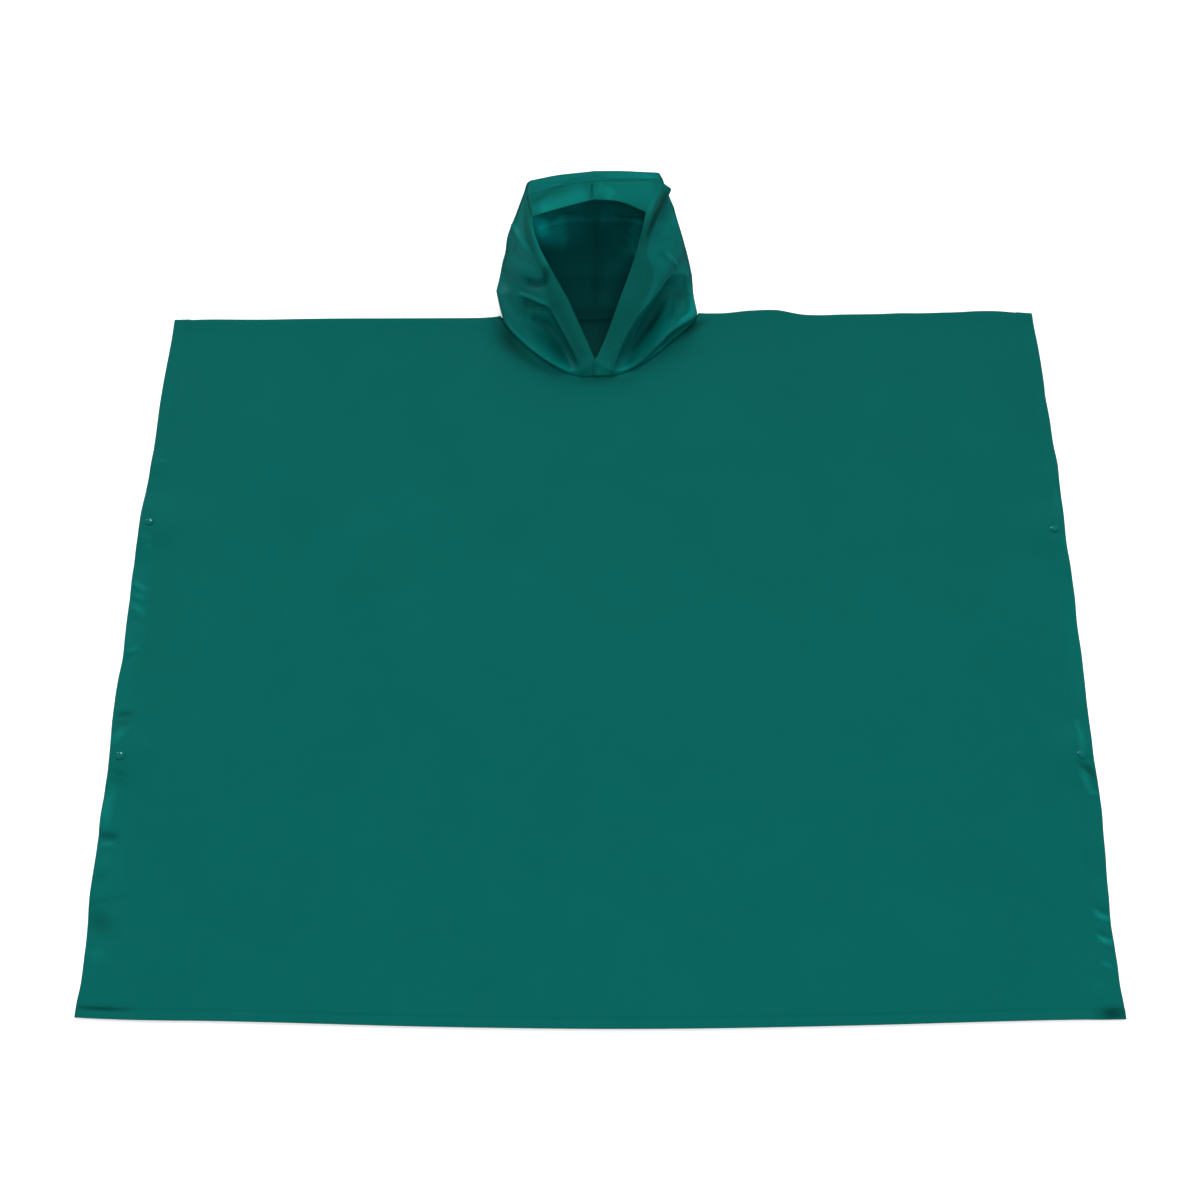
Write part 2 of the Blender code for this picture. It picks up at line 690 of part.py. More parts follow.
def hood_hem(side, grid, normals, finish, group):
    """The turned hem round the face on one half of the hood."""
    base = grid[1:, : BAND_STEPS + 1]
    out = normals[1:, : BAND_STEPS + 1]
    inner = keep_to_side(base + out * SEAM_GAP, side)
    outer = keep_to_side(base + out * (SEAM_GAP + HEM_WALL), side)
    return closed_wall("hood_hem_" + SIDES[side], outer, inner, finish, group)


# Press studs

def turned(name, profile, place, finish, group):
    """A turned piece from a profile of radius and height, top of the axis first."""
    mesh = bpy.data.meshes.new(name)
    points = [(radius, 0.0, height) for radius, height in profile]
    mesh.from_pydata(points, [(i, i + 1) for i in range(len(points) - 1)], [])
    part = add_object(name, mesh, finish, group)
    part.location = (place[0], place[1], 0.0)
    screw = part.modifiers.new("turn", "SCREW")
    screw.axis = "Z"
    screw.steps = STUD_STEPS
    screw.render_steps = STUD_STEPS
    screw.use_merge_vertices = True
    screw.merge_threshold = 0.00001
    return part


def stud_cutter(name, group):
    """Guide that cuts one press stud's hole through the walls."""
    x, y = stud_place(name)
    bpy.ops.mesh.primitive_cylinder_add(
        vertices=STUD_STEPS, radius=STUD_HOLE_RADIUS, depth=CUTTER_LENGTH, location=(x, y, 0.0)
    )
    cutter = bpy.context.active_object
    cutter.name = "cutter_" + name
    for owner in list(cutter.users_collection):
        owner.objects.unlink(cutter)
    group.objects.link(cutter)
    cutter.hide_render = True
    cutter.display_type = "WIRE"
    return cutter


def press_stud(name, finish, group):
    """Cap with its socket on the front panel, and back cap with its ball behind."""
    place = stud_place(name)
    back_top = BACK_CAP_HEIGHT + STUD_GAP + PANEL_WALL
    socket_low = back_top + STUD_GAP
    socket_top = socket_low + SOCKET_HEIGHT
    cap_low = stud_stack() + SEAM_GAP + HEM_WALL + STUD_GAP
    cap_top = cap_low + STUD_CAP_HEIGHT
    bore_top = socket_low + SOCKET_BORE_DEPTH
    dome = 0.62 * STUD_CAP_RADIUS
    cap = (
        (0.0, cap_top),
        (dome, cap_top - 0.18 * STUD_CAP_HEIGHT),
        (STUD_CAP_RADIUS, cap_low + 0.45 * STUD_CAP_HEIGHT),
        (STUD_CAP_RADIUS, cap_low),
        (STUD_SHANK_RADIUS, cap_low),
        (STUD_SHANK_RADIUS, socket_top),
        (SOCKET_RADIUS, socket_top),
        (SOCKET_RADIUS, socket_low),
        (SOCKET_BORE_RADIUS, socket_low),
        (SOCKET_BORE_RADIUS, bore_top),
        (0.0, bore_top),
    )
    ball_top = socket_low + STUD_BALL_HEIGHT
    back = (
        (0.0, ball_top),
        (STUD_BALL_RADIUS, ball_top),
        (STUD_SHANK_RADIUS, socket_low),
        (STUD_SHANK_RADIUS, BACK_CAP_HEIGHT),
        (BACK_CAP_RADIUS, BACK_CAP_HEIGHT),
        (BACK_CAP_RADIUS, 0.0),
        (0.0, 0.0),
    )
    turned("stud_cap_" + name, cap, place, finish, group)
    turned("stud_back_" + name, back, place, finish, group)


def build():
    """Make the whole poncho."""
    clear_scene()
    poncho = make_collection("rain_poncho")
    guides = make_collection("cutters")
    film = plastic("film", FILM_COLOR, FILM_ROUGHNESS)
    hood_film = plastic("hood_film", HOOD_COLOR, FILM_ROUGHNESS)
    hem_film = plastic("hem_film", HEM_COLOR, FILM_ROUGHNESS)
    stud_plastic = plastic("stud_plastic", STUD_COLOR, STUD_ROUGHNESS)

    cutters = {name: stud_cutter(name, guides) for name in STUDS}
    grid = front_grid()
    rows, columns = len(grid), len(grid[0])
    pierce(front_panel(grid, film, poncho), cutters.values())
    pierce(back_panel(back_grid(), film, poncho), cutters.values())
    hem_band("hem_bottom", grid, [0, 1], range(columns), 0.0, hem_film, poncho)
    hem_columns = PANEL_INSETS[1].index(SIDE_HEM_WIDTH) + 1
    bands = {-1: range(hem_columns), 1: range(columns - hem_columns, columns)}
    for side, band in bands.items():
        part = hem_band(
            "hem_side_" + SIDES[side], grid, range(1, rows), band, SEAM_GAP, hem_film, poncho
        )
        pierce(part, [c for n, c in cutters.items() if STUDS[n][0] == side])

    for side in SIDES:
        hood = hood_grid(side)
        normals = hood_normals(hood, side)
        hood_half(side, hood, normals, hood_film, poncho)
        hood_hem(side, hood, normals, hem_film, poncho)

    for name in STUDS:
        press_stud(name, stud_plastic, poncho)


build()
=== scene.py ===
"""Looks of a rain poncho: its film, hood, hems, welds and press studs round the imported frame.

Metres, +Z up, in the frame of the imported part.  +Y runs from the hem to the hood, +X to the
right as seen from the hem, and the poncho lies on the surface z = 0.
"""

import logging
import math
from dataclasses import dataclass, field
from enum import Enum
from typing import Callable, Iterable, Optional, Sequence

import bmesh
import bpy
import numpy as np
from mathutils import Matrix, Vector


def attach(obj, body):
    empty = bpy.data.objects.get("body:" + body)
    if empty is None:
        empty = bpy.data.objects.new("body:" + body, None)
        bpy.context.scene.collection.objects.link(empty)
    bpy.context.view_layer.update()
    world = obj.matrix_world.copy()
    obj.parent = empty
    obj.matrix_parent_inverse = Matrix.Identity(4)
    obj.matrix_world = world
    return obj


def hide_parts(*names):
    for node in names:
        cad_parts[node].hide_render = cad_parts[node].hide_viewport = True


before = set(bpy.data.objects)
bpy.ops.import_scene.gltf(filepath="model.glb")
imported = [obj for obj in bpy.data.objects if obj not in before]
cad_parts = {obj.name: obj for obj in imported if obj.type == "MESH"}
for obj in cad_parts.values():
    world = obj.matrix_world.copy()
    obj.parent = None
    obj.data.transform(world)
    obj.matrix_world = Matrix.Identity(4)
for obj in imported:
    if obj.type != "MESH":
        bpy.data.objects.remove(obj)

LOG = logging.getLogger("rain_poncho")
MM = 0.001
BELL_REACH = 2.2
ROOT = "root"
Array = np.ndarray
Color = tuple[float, float, float]
Piece = bpy.types.Object
Material = bpy.types.Material
Tree = bpy.types.NodeTree
Socket = bpy.types.NodeSocket
BODY_COLOR: Color = (0.0003, 0.0893, 0.0764)


class Side(Enum):
    """Left or right half, as seen from the hem; the value is the sign of x."""

    LEFT = -1
    RIGHT = 1


# Finishes


@dataclass(frozen=True)
class FilmFinish:
    """Soft vinyl film with a fine embossed grain, a faint unevenness of tone, and painted light
    and shade.
    """

    name: str
    color: Color
    roughness: float = 0.36
    specular: float = 0.10
    mottle: float = 0.05
    gloss_spread: float = 0.07
    grain: float = 0.35
    grain_depth: float = 0.00012
    ripple: float = 0.25
    ripple_depth: float = 0.0006
    painted_light_attribute: str = "tone"

    def build(self) -> Material:
        """Make the material.

        Returns:
            The new node material.
        """
        material = bpy.data.materials.new(self.name)
        material.use_nodes = True
        tree = material.node_tree
        shader = tree.nodes["Principled BSDF"]
        place = tree.nodes.new("ShaderNodeTexCoord").outputs["Object"]
        clouds = add_noise(tree, place, scale=9.0, detail=4.0)
        tone = tree.nodes.new("ShaderNodeMix")
        tone.data_type = "RGBA"
        low, high = 1.0 - self.mottle, 1.0 + self.mottle
        tone.inputs["A"].default_value = (*(c * low for c in self.color), 1.0)
        tone.inputs["B"].default_value = (*(c * high for c in self.color), 1.0)
        tree.links.new(clouds, tone.inputs["Factor"])
        # Painted light and shade from the piece's attribute scale the colour
        shade = add_painted_light(tree, tone.outputs["Result"], self.painted_light_attribute)
        tree.links.new(shade, shader.inputs["Base Color"])

        rub = add_noise(tree, place, scale=38.0, detail=3.0)
        gloss = tree.nodes.new("ShaderNodeMapRange")
        gloss.inputs["To Min"].default_value = self.roughness - self.gloss_spread
        gloss.inputs["To Max"].default_value = self.roughness + self.gloss_spread
        tree.links.new(rub, gloss.inputs["Value"])
        tree.links.new(gloss.outputs["Result"], shader.inputs["Roughness"])
        shader.inputs["Specular IOR Level"].default_value = self.specular

        ripples = add_noise(tree, place, scale=55.0, detail=2.0)
        emboss = add_noise(tree, place, scale=1500.0, detail=1.0)
        soft = add_bump(tree, ripples, self.ripple, self.ripple_depth, None)
        fine = add_bump(tree, emboss, self.grain, self.grain_depth, soft)
        tree.links.new(fine, shader.inputs["Normal"])
        material.diffuse_color = (*self.color, 1.0)
        return material


@dataclass(frozen=True)
class MouldedFinish:
    """Smooth moulded plastic of the press studs, slightly rubbed."""

    name: str
    color: Color
    roughness: float = 0.16

    def build(self) -> Material:
        """Make the material.

        Returns:
            The new node material.
        """
        material = bpy.data.materials.new(self.name)
        material.use_nodes = True
        tree = material.node_tree
        shader = tree.nodes["Principled BSDF"]
        place = tree.nodes.new("ShaderNodeTexCoord").outputs["Object"]
        wear = add_noise(tree, place, scale=420.0, detail=3.0)
        gloss = tree.nodes.new("ShaderNodeMapRange")
        gloss.inputs["To Min"].default_value = self.roughness - 0.04
        gloss.inputs["To Max"].default_value = self.roughness + 0.08
        tree.links.new(wear, gloss.inputs["Value"])
        tree.links.new(gloss.outputs["Result"], shader.inputs["Roughness"])
        tone = tree.nodes.new("ShaderNodeMix")
        tone.data_type = "RGBA"
        tone.inputs["A"].default_value = (*(c * 0.86 for c in self.color), 1.0)
        tone.inputs["B"].default_value = (*(c * 1.12 for c in self.color), 1.0)
        tree.links.new(wear, tone.inputs["Factor"])
        tree.links.new(tone.outputs["Result"], shader.inputs["Base Color"])
        tree.links.new(add_bump(tree, wear, 0.15, 0.0001, None), shader.inputs["Normal"])
        material.diffuse_color = (*self.color, 1.0)
        return material


def add_noise(tree: Tree, place: Socket, scale: float, detail: float) -> Socket:
    """Add a noise texture on object coordinates.

    Args:
        tree: The material's tree.
        place: The coordinates' socket.
        scale: Cells a metre, or so.
        detail: Octaves of finer noise.

    Returns:
        The socket of the noise's value.
    """
    texture = tree.nodes.new("ShaderNodeTexNoise")
    texture.inputs["Scale"].default_value = scale
    texture.inputs["Detail"].default_value = detail
    tree.links.new(place, texture.inputs["Vector"])
    return texture.outputs["Fac"]


def add_painted_light(tree: Tree, color: Socket, name: str) -> Socket:
    """Make a colour paler or darker by painted light and shade in a piece's attribute, 0 where
    none.

    Args:
        tree: The material's tree.
        color: The colour's socket.
        name: The attribute's name.

    Returns:
        The socket of the new colour.
    """
    own = tree.nodes.new("ShaderNodeAttribute")
    own.attribute_name = name
    gain = tree.nodes.new("ShaderNodeMath")
    gain.operation = "ADD"
    gain.inputs[1].default_value = 1.0
    tree.links.new(own.outputs["Fac"], gain.inputs[0])
    scaled = tree.nodes.new("ShaderNodeVectorMath")
    scaled.operation = "SCALE"
    tree.links.new(color, scaled.inputs["Vector"])
    tree.links.new(gain.outputs["Value"], scaled.inputs["Scale"])
    return scaled.outputs["Vector"]


def add_bump(tree: Tree, height: Socket, strength: float, distance: float,
             under: Optional[Socket]) -> Socket:
    """Add a bump of a height.

    Args:
        tree: The material's tree.
        height: Socket of the height.
        strength: The bump's strength.
        distance: Depth of a full step, in metres.
        under: Normal that the bump lies on, if any.

    Returns:
        The socket of the bumped normal.
    """
    bump = tree.nodes.new("ShaderNodeBump")
    bump.inputs["Strength"].default_value = strength
    bump.inputs["Distance"].default_value = distance
    tree.links.new(height, bump.inputs["Height"])
    if under is not None:
        tree.links.new(under, bump.inputs["Normal"])
    return bump.outputs["Normal"]


# Numbers and curves


def bell(distance: Array, half_width: float) -> Array:
    """One at no distance, falling smoothly to nothing at BELL_REACH half widths."""
    ratio = np.minimum(np.abs(distance) / (BELL_REACH * half_width), 1.0)
    return (1.0 - ratio * ratio) ** 2


def fade(distance: Array, reach: float) -> Array:
    """One at no distance, falling as a square to nothing at the reach."""
    return np.clip(1.0 - distance / reach, 0.0, 1.0) ** 2


def wave(at: Array, knots: Sequence) -> Array:
    """A smooth small offset along an edge.

    Args:
        at: Places along the edge, in metres.
        knots: Place in metres and offset in millimetres of each given point.

    Returns:
        The offset at each place, in metres.
    """
    points = np.array(sorted(knots), dtype=float) * (1.0, MM)
    curve = smooth_through(points, [5] * (len(points) - 1))
    return np.interp(at, curve[:, 0], curve[:, 1])


def stations(fixed: Sequence[float], step: float) -> Array:
    """The fixed values and even steps between them, none longer than the step.

    Args:
        fixed: Values in rising order, which are all kept.
        step: The longest step.

    Returns:
        The values.
    """
    values = [fixed[0]]
    for low, high in zip(fixed, fixed[1:]):
        count = max(math.ceil((high - low) / step - 1e-6), 1)
        values.extend(low + (high - low) * (k + 1) / count for k in range(count))
    return np.array(values)


def smooth_through(points: Sequence, steps: Sequence[int], sharp: Iterable[int] = ()) -> Array:
    """Sample a smooth curve through the given points.

    Args:
        points: The points, of any dimension.
        steps: Samples in each interval.
        sharp: Numbers of the points where the curve turns sharply.

    Returns:
        The samples, with the last point.
    """
    points = np.asarray(points, dtype=float)
    chords = np.diff(points, axis=0)
    spans = np.maximum(np.sqrt(np.linalg.norm(chords, axis=1)), 1e-6)
    slopes = chords / spans[:, None]
    leaving = slopes.copy()
    arriving = slopes.copy()
    for i in range(1, len(points) - 1):
        if i in sharp:
            continue
        before, after = spans[i - 1], spans[i]
        tangent = (slopes[i - 1] * after + slopes[i] * before) / (before + after)
        arriving[i - 1] = tangent
        leaving[i] = tangent
    curve = []
    for i, count in enumerate(steps):
        s = (np.arange(count) / count)[:, None]
        curve.append(
            points[i] * (2 * s ** 3 - 3 * s ** 2 + 1)
            + leaving[i] * spans[i] * (s ** 3 - 2 * s ** 2 + s)
            + points[i + 1] * (3 * s ** 2 - 2 * s ** 3)
            + arriving[i] * spans[i] * (s ** 3 - s ** 2)
        )
    curve.append(points[-1:])
    return np.concatenate(curve)


def distance_to_path(points: Array, path: Array) -> tuple[Array, Array]:
    """Measure how far points lie from a path.

    Args:
        points: Points, shape (..., d).
        path: The path's points, shape (n, d).

    Returns:
        The distance of each point, and how far along the path its foot lies, from 0 to 1.
    """
    spans = np.linalg.norm(np.diff(path, axis=0), axis=1)
    run = np.concatenate([[0.0], np.cumsum(spans)])
    nearest = np.full(points.shape[:-1], 1e9)
    along = np.zeros(points.shape[:-1])
    for i, (start, end) in enumerate(zip(path, path[1:])):
        step = end - start
        share = ((points - start) @ step) / max(float(step @ step), 1e-12)
        share = np.clip(share, 0.0, 1.0)
        gap = np.linalg.norm(points - start - share[..., None] * step, axis=-1)
        closer = gap < nearest
        nearest = np.where(closer, gap, nearest)
        along = np.where(closer, (run[i] + share * spans[i]) / run[-1], along)
    return nearest, along


def grid_normals(grid: Array, outward: float = 1.0) -> Array:
    """Unit normals of a grid of points, each the mean of the quads about it.

    Args:
        grid: The points, shape (rows, columns, 3).
        outward: 1, or -1 where the grid runs the other way round.

    Returns:
        The normals, in the grid's shape.
    """
    rows, columns = grid.shape[:2]
    rising = grid[1:, 1:] - grid[:-1, :-1]
    falling = grid[1:, :-1] - grid[:-1, 1:]
    quads = np.cross(rising, falling) * outward
    quads /= np.maximum(np.linalg.norm(quads, axis=2, keepdims=True), 1e-12)
    normals = np.zeros_like(grid)
    for r in (0, 1):
        for c in (0, 1):
            normals[r: r + rows - 1, c: c + columns - 1] += quads
    return normals / np.maximum(np.linalg.norm(normals, axis=2, keepdims=True), 1e-12)


def relax(grid: Array, times: int, share: float = 0.5) -> Array:
    """Ease the points inside a grid towards the mean of their neighbours.

    Args:
        grid: The points.
        times: Rounds of easing.
        share: How far a point moves each round, 1 for the whole way.

    Returns:
        The eased points.
    """
    grid = grid.copy()
    for _ in range(times):
        mean = 0.25 * (grid[:-2, 1:-1] + grid[2:, 1:-1] + grid[1:-1, :-2] + grid[1:-1, 2:])
        grid[1:-1, 1:-1] += share * (mean - grid[1:-1, 1:-1])
    return grid


def grid_faces(rows: int, columns: int, start: int = 0, flip: bool = False) -> list:
    """Quads of a grid of points, numbered row by row.

    Args:
        rows: Rows of the grid.
        columns: Columns of the grid.
        start: Number of the grid's first point.
        flip: Whether the quads face the other way.

    Returns:
        The quads.
    """
    faces = []
    for r in range(rows - 1):
        for c in range(columns - 1):
            a = start + r * columns + c
            quad = (a, a + 1, a + columns + 1, a + columns)
            faces.append(quad[::-1] if flip else quad)
    return faces


def ring_faces(count: int, size: int) -> list:
    """Quads of a tube of closed rings, with a cap on both ends.

    Args:
        count: Number of rings.
        size: Points a ring.

    Returns:
        The faces.
    """
    faces = []
    for r in range(count - 1):
        for k in range(size):
            a, b = r * size + k, r * size + (k + 1) % size
            faces.append((a, b, b + size, a + size))
    faces.append(tuple(range(size))[::-1])
    faces.append(tuple(range((count - 1) * size, count * size)))
    return faces


# Meshes and modifiers


def new_object(name: str, points: Array, faces: list, materials: Sequence[Material]) -> Piece:
    """Make a smooth-shaded mesh object at the origin.

    Args:
        name: The object's name.
        points: Its points, in metres.
        faces: Its faces.
        materials: Its material slots.

    Returns:
        The object, linked to the scene.
    """
    mesh = bpy.data.meshes.new(name)
    mesh.from_pydata([tuple(map(float, p)) for p in points], [], faces)
    mesh.update()
    for material in materials:
        mesh.materials.append(material)
    mesh.shade_smooth()
    piece = bpy.data.objects.new(name, mesh)
    bpy.context.scene.collection.objects.link(piece)
    return piece


def mend(piece: Piece, merge: float) -> None:
    """Merge the doubles of a piece and turn its faces outwards.

    Args:
        piece: The piece.
        merge: How near two points are that merge.
    """
    shell = bmesh.new()
    shell.from_mesh(piece.data)
    bmesh.ops.remove_doubles(shell, verts=shell.verts, dist=merge)
    bmesh.ops.recalc_face_normals(shell, faces=shell.faces)
    shell.to_mesh(piece.data)
    shell.free()


def give_wall(piece: Piece, thickness: float) -> None:
    """Give an open film its thickness, inwards; its inner face takes the second slot.

    Args:
        piece: The film.
        thickness: Its thickness.
    """
    wall = piece.modifiers.new("film", "SOLIDIFY")
    wall.thickness = thickness
    wall.offset = -1.0
    wall.use_even_offset = False
    wall.material_offset = len(piece.data.materials) - 1
    wall.material_offset_rim = 0


def bake_modifiers(piece: Piece) -> None:
    """Turn a piece with modifiers into a plain mesh.

    Args:
        piece: The piece.
    """
    graph = bpy.context.evaluated_depsgraph_get()
    mesh = bpy.data.meshes.new_from_object(piece.evaluated_get(graph))
    old = piece.data
    piece.modifiers.clear()
    piece.data = mesh
    bpy.data.meshes.remove(old)
    mesh.name = piece.name


def mesh_points(piece: Piece) -> Array:
    """All points of a piece's mesh.

    Args:
        piece: The piece.

    Returns:
        The points, shape (n, 3).
    """
    flat = np.empty(len(piece.data.vertices) * 3)
    piece.data.vertices.foreach_get("co", flat)
    return flat.reshape(-1, 3)


def store_painted_light(piece: Piece, name: str, painted_light: Array) -> None:
    """Store how much painted light or shade makes each point of a piece paler or darker."""
    layer = piece.data.attributes.new(name, "FLOAT", "POINT")
    layer.data.foreach_set("value", np.asarray(painted_light, dtype=np.float32))


def settle(piece: Piece, nodes: Sequence[str]) -> Piece:
    """Fix a finished piece to the frame.

    Args:
        piece: The finished piece.
        nodes: CAD nodes it stands for.

    Returns:
        The piece.
    """
    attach(piece, ROOT)
    if nodes:
        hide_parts(*nodes)
    LOG.info("%s: %d faces", piece.name, len(piece.data.polygons))
    return piece


# The body's cut and lie


@dataclass(frozen=True)
class BodyCut:
    """Outline of the body as it lies, and the line of its neck."""

    width: float = 1.270
    length: float = 1.016
    hem_bow: float = 0.0122
    side_bow: dict = field(default_factory=lambda: {Side.LEFT: 0.0068, Side.RIGHT: 0.0058})
    bow_middle: dict = field(default_factory=lambda: {Side.LEFT: 0.50, Side.RIGHT: 0.38})
    shoulder_humps: tuple = ((0.238, 0.0095, 0.030), (0.550, 0.0060, 0.040))
    seam_x: float = -0.007
    roll: float = 0.0055
    neck_points: dict = field(default_factory=lambda: {
        Side.LEFT: ((-7, -106), (-25, -106), (-44, -102), (-69, -89), (-90, -73), (-109, -53),
                    (-127, -33), (-143, -13), (-149, -1.2), (-147, -1.2), (-141, -1.2),
                    (-7, -1.2)),
        Side.RIGHT: ((-7, -106), (18, -105), (36, -99), (60, -86), (82, -69), (102, -50),
                     (122, -31), (138, -13), (144, -1.2), (142, -1.2), (136, -1.2),
                     (-7, -1.2)),
    })
    shoulder_knot: int = 8
    # Small waves of the edges: place along the edge in metres, and how far out in mm
    side_waves: dict = field(default_factory=lambda: {
        Side.LEFT: ((0.500, -1.4), (0.458, -0.7), (0.396, 0.6), (0.355, 0.5), (0.305, -0.9),
                    (0.255, -1.0), (0.198, 1.2), (0.141, 1.0), (0.104, 0.9), (0.067, -0.2),
                    (0.031, 0.1), (0.004, -0.5), (-0.028, -2.4), (-0.065, 0.2), (-0.100, 0.9),
                    (-0.142, -1.5), (-0.175, -3.1), (-0.199, -3.5), (-0.224, -2.4),
                    (-0.256, -1.6), (-0.295, -0.9), (-0.334, -0.5), (-0.372, 0.1),
                    (-0.410, -1.9), (-0.440, -1.9), (-0.469, -1.5), (-0.488, 0.5), (-0.500, 1.5)),
        Side.RIGHT: ((0.490, -0.2), (0.449, 1.2), (0.387, 1.2), (0.367, 0.4), (0.327, 1.6),
                     (0.287, 1.5), (0.258, 3.2), (0.229, 1.9), (0.191, 1.9), (0.154, 0.0),
                     (0.135, -0.5), (0.099, 0.7), (0.053, 2.1), (0.009, 0.4), (-0.034, 1.1),
                     (-0.077, 0.1), (-0.102, -0.7), (-0.136, 0.0), (-0.177, -1.2), (-0.209, 0.2),
                     (-0.249, 2.2), (-0.288, -0.2), (-0.319, -1.1), (-0.349, -2.2),
                     (-0.380, -4.1), (-0.409, -4.0), (-0.439, -1.7), (-0.468, -1.5),
                     (-0.486, 0.0), (-0.498, 0.9)),
    })
    shoulder_waves: tuple = ((-0.627, 0.5), (-0.582, 1.6), (-0.507, 0.7), (-0.447, 1.4),
        (-0.388, 1.8), (-0.298, 1.4), (-0.239, 1.2), (-0.179, 1.2), (-0.155, 2.6), (0.147, 6.3),
        (0.176, 6.3), (0.206, 3.8), (0.235, 2.2), (0.265, 4.5), (0.294, 3.4), (0.324, 2.0),
        (0.353, 2.9), (0.412, 3.5), (0.442, 4.6), (0.471, 4.1), (0.500, 2.3), (0.530, 0.5),
        (0.559, 1.6), (0.588, 3.0), (0.618, 2.7), (0.638, 2.0))
    hem_waves: tuple = ((-0.634, 0.6), (-0.617, 1.4), (-0.575, 2.3), (-0.526, 2.2),
        (-0.477, 1.4), (-0.429, 1.0), (-0.355, 0.7), (-0.234, 0.8), (-0.113, 0.6), (0.008, 0.9),
        (0.129, 1.0), (0.249, 1.0), (0.370, 1.1), (0.489, 0.8), (0.585, 0.7), (0.609, 1.1),
        (0.633, 0.9))

    @property
    def shoulder_y(self) -> float:
        """The shoulder line's y."""
        return self.length / 2

    @property
    def hem_y(self) -> float:
        """The y of the straight corners of the hem."""
        return -self.length / 2

    def side_edge(self, side: Side, y: Array) -> Array:
        """Distance of a side edge from the centre line.

        Args:
            side: The edge's side.
            y: Places along the edge.

        Returns:
            The distance at each place.
        """
        along = np.clip((self.shoulder_y - y) / self.length, 0.0, 1.0)
        skewed = along ** (math.log(0.5) / math.log(self.bow_middle[side]))
        bow = self.side_bow[side] * np.sin(math.pi * skewed)
        return self.width / 2 + bow + wave(y, self.side_waves[side])

    def hem_edge(self, x: Array) -> Array:
        """The bottom edge's y at x.

        Args:
            x: Places along the edge.

        Returns:
            The edge's y at each place.
        """
        across = np.minimum(np.abs(x) / (self.width / 2), 1.0)
        bow = self.hem_bow * np.maximum(np.cos(0.5 * math.pi * across), 0.0) ** 1.5
        return self.hem_y - bow - wave(x, self.hem_waves)

    def shoulder_edge(self, x: Array) -> Array:
        """The shoulder line's y at x, with its low humps."""
        humps = sum(rise * bell(x - at, half) for at, rise, half in self.shoulder_humps)
        return self.shoulder_y + humps + wave(x, self.shoulder_waves)

    def neck_knots(self, side: Side) -> Array:
        """The given points of the neck line, in metres."""
        return np.array(self.neck_points[side]) * MM + (0.0, self.shoulder_y)

    def neck_curve(self, side: Side, steps: int) -> Array:
        """The neck line through its points, with even steps between them.

        Args:
            side: The half.
            steps: Steps from one given point to the next.

        Returns:
            Plan points of the line.
        """
        knots = self.neck_knots(side)
        front = knots[: self.shoulder_knot + 1]
        curve = smooth_through(front, [steps] * self.shoulder_knot)
        back = smooth_through(
            knots[self.shoulder_knot:], [steps] * (len(knots) - self.shoulder_knot - 1),
            range(1, len(knots)),
        )
        return np.concatenate([curve, back[1:]])

    def neck_place(self, side: Side, places: Array) -> Array:
        """Plan points at places on the neck line; whole places are its given points.

        Args:
            side: The half.
            places: The places.

        Returns:
            A plan point for each place.
        """
        steps = 16
        curve = self.neck_curve(side, steps)
        numbers = np.arange(len(curve)) / steps
        return np.stack([np.interp(places, numbers, curve[:, k]) for k in (0, 1)], axis=-1)

    def neck_distance(self, x: Array, y: Array) -> Array:
        """Distance from the front half of the neck line.

        Args:
            x: The x of the points.
            y: The y of the points.

        Returns:
            The distance of each point.
        """
        points = np.stack([x, y], axis=-1)
        gaps = []
        for side in Side:
            path = self.neck_curve(side, 3)[: 3 * self.shoulder_knot + 1]
            gaps.append(distance_to_path(points, path)[0])
        return np.minimum(*gaps)


# How far round its path a mark of the film is worked out
MARK_MARGIN = 0.02


@dataclass(frozen=True)
class FilmMark:
    """A pucker, dip, painted highlight or painted shade of the front film: plan path in metres,
    sizes in mm.
    """

    path: tuple
    half_width: float
    rise: float
    # Paler above 0, darker below 0: painted highlights and shade, and the paler edges
    tone: float

    def share(self, x: Array, y: Array) -> Array:
        """How strong the mark is at plan points: 1 on its path, 0 away from it.

        Args:
            x: The x of the points.
            y: The y of the points.

        Returns:
            The strength at each point.
        """
        path = smooth_through(np.array(self.path), (4, 4))
        low, high = path.min(axis=0) - MARK_MARGIN, path.max(axis=0) + MARK_MARGIN
        near = (x > low[0]) & (x < high[0]) & (y > low[1]) & (y < high[1])
        strength = np.zeros_like(x)
        gap, along = distance_to_path(np.stack([x[near], y[near]], axis=-1), path)
        taper = np.sin(math.pi * np.clip(0.12 + 0.76 * along, 0.0, 1.0))
        strength[near] = bell(gap, self.half_width * MM) * taper
        return strength


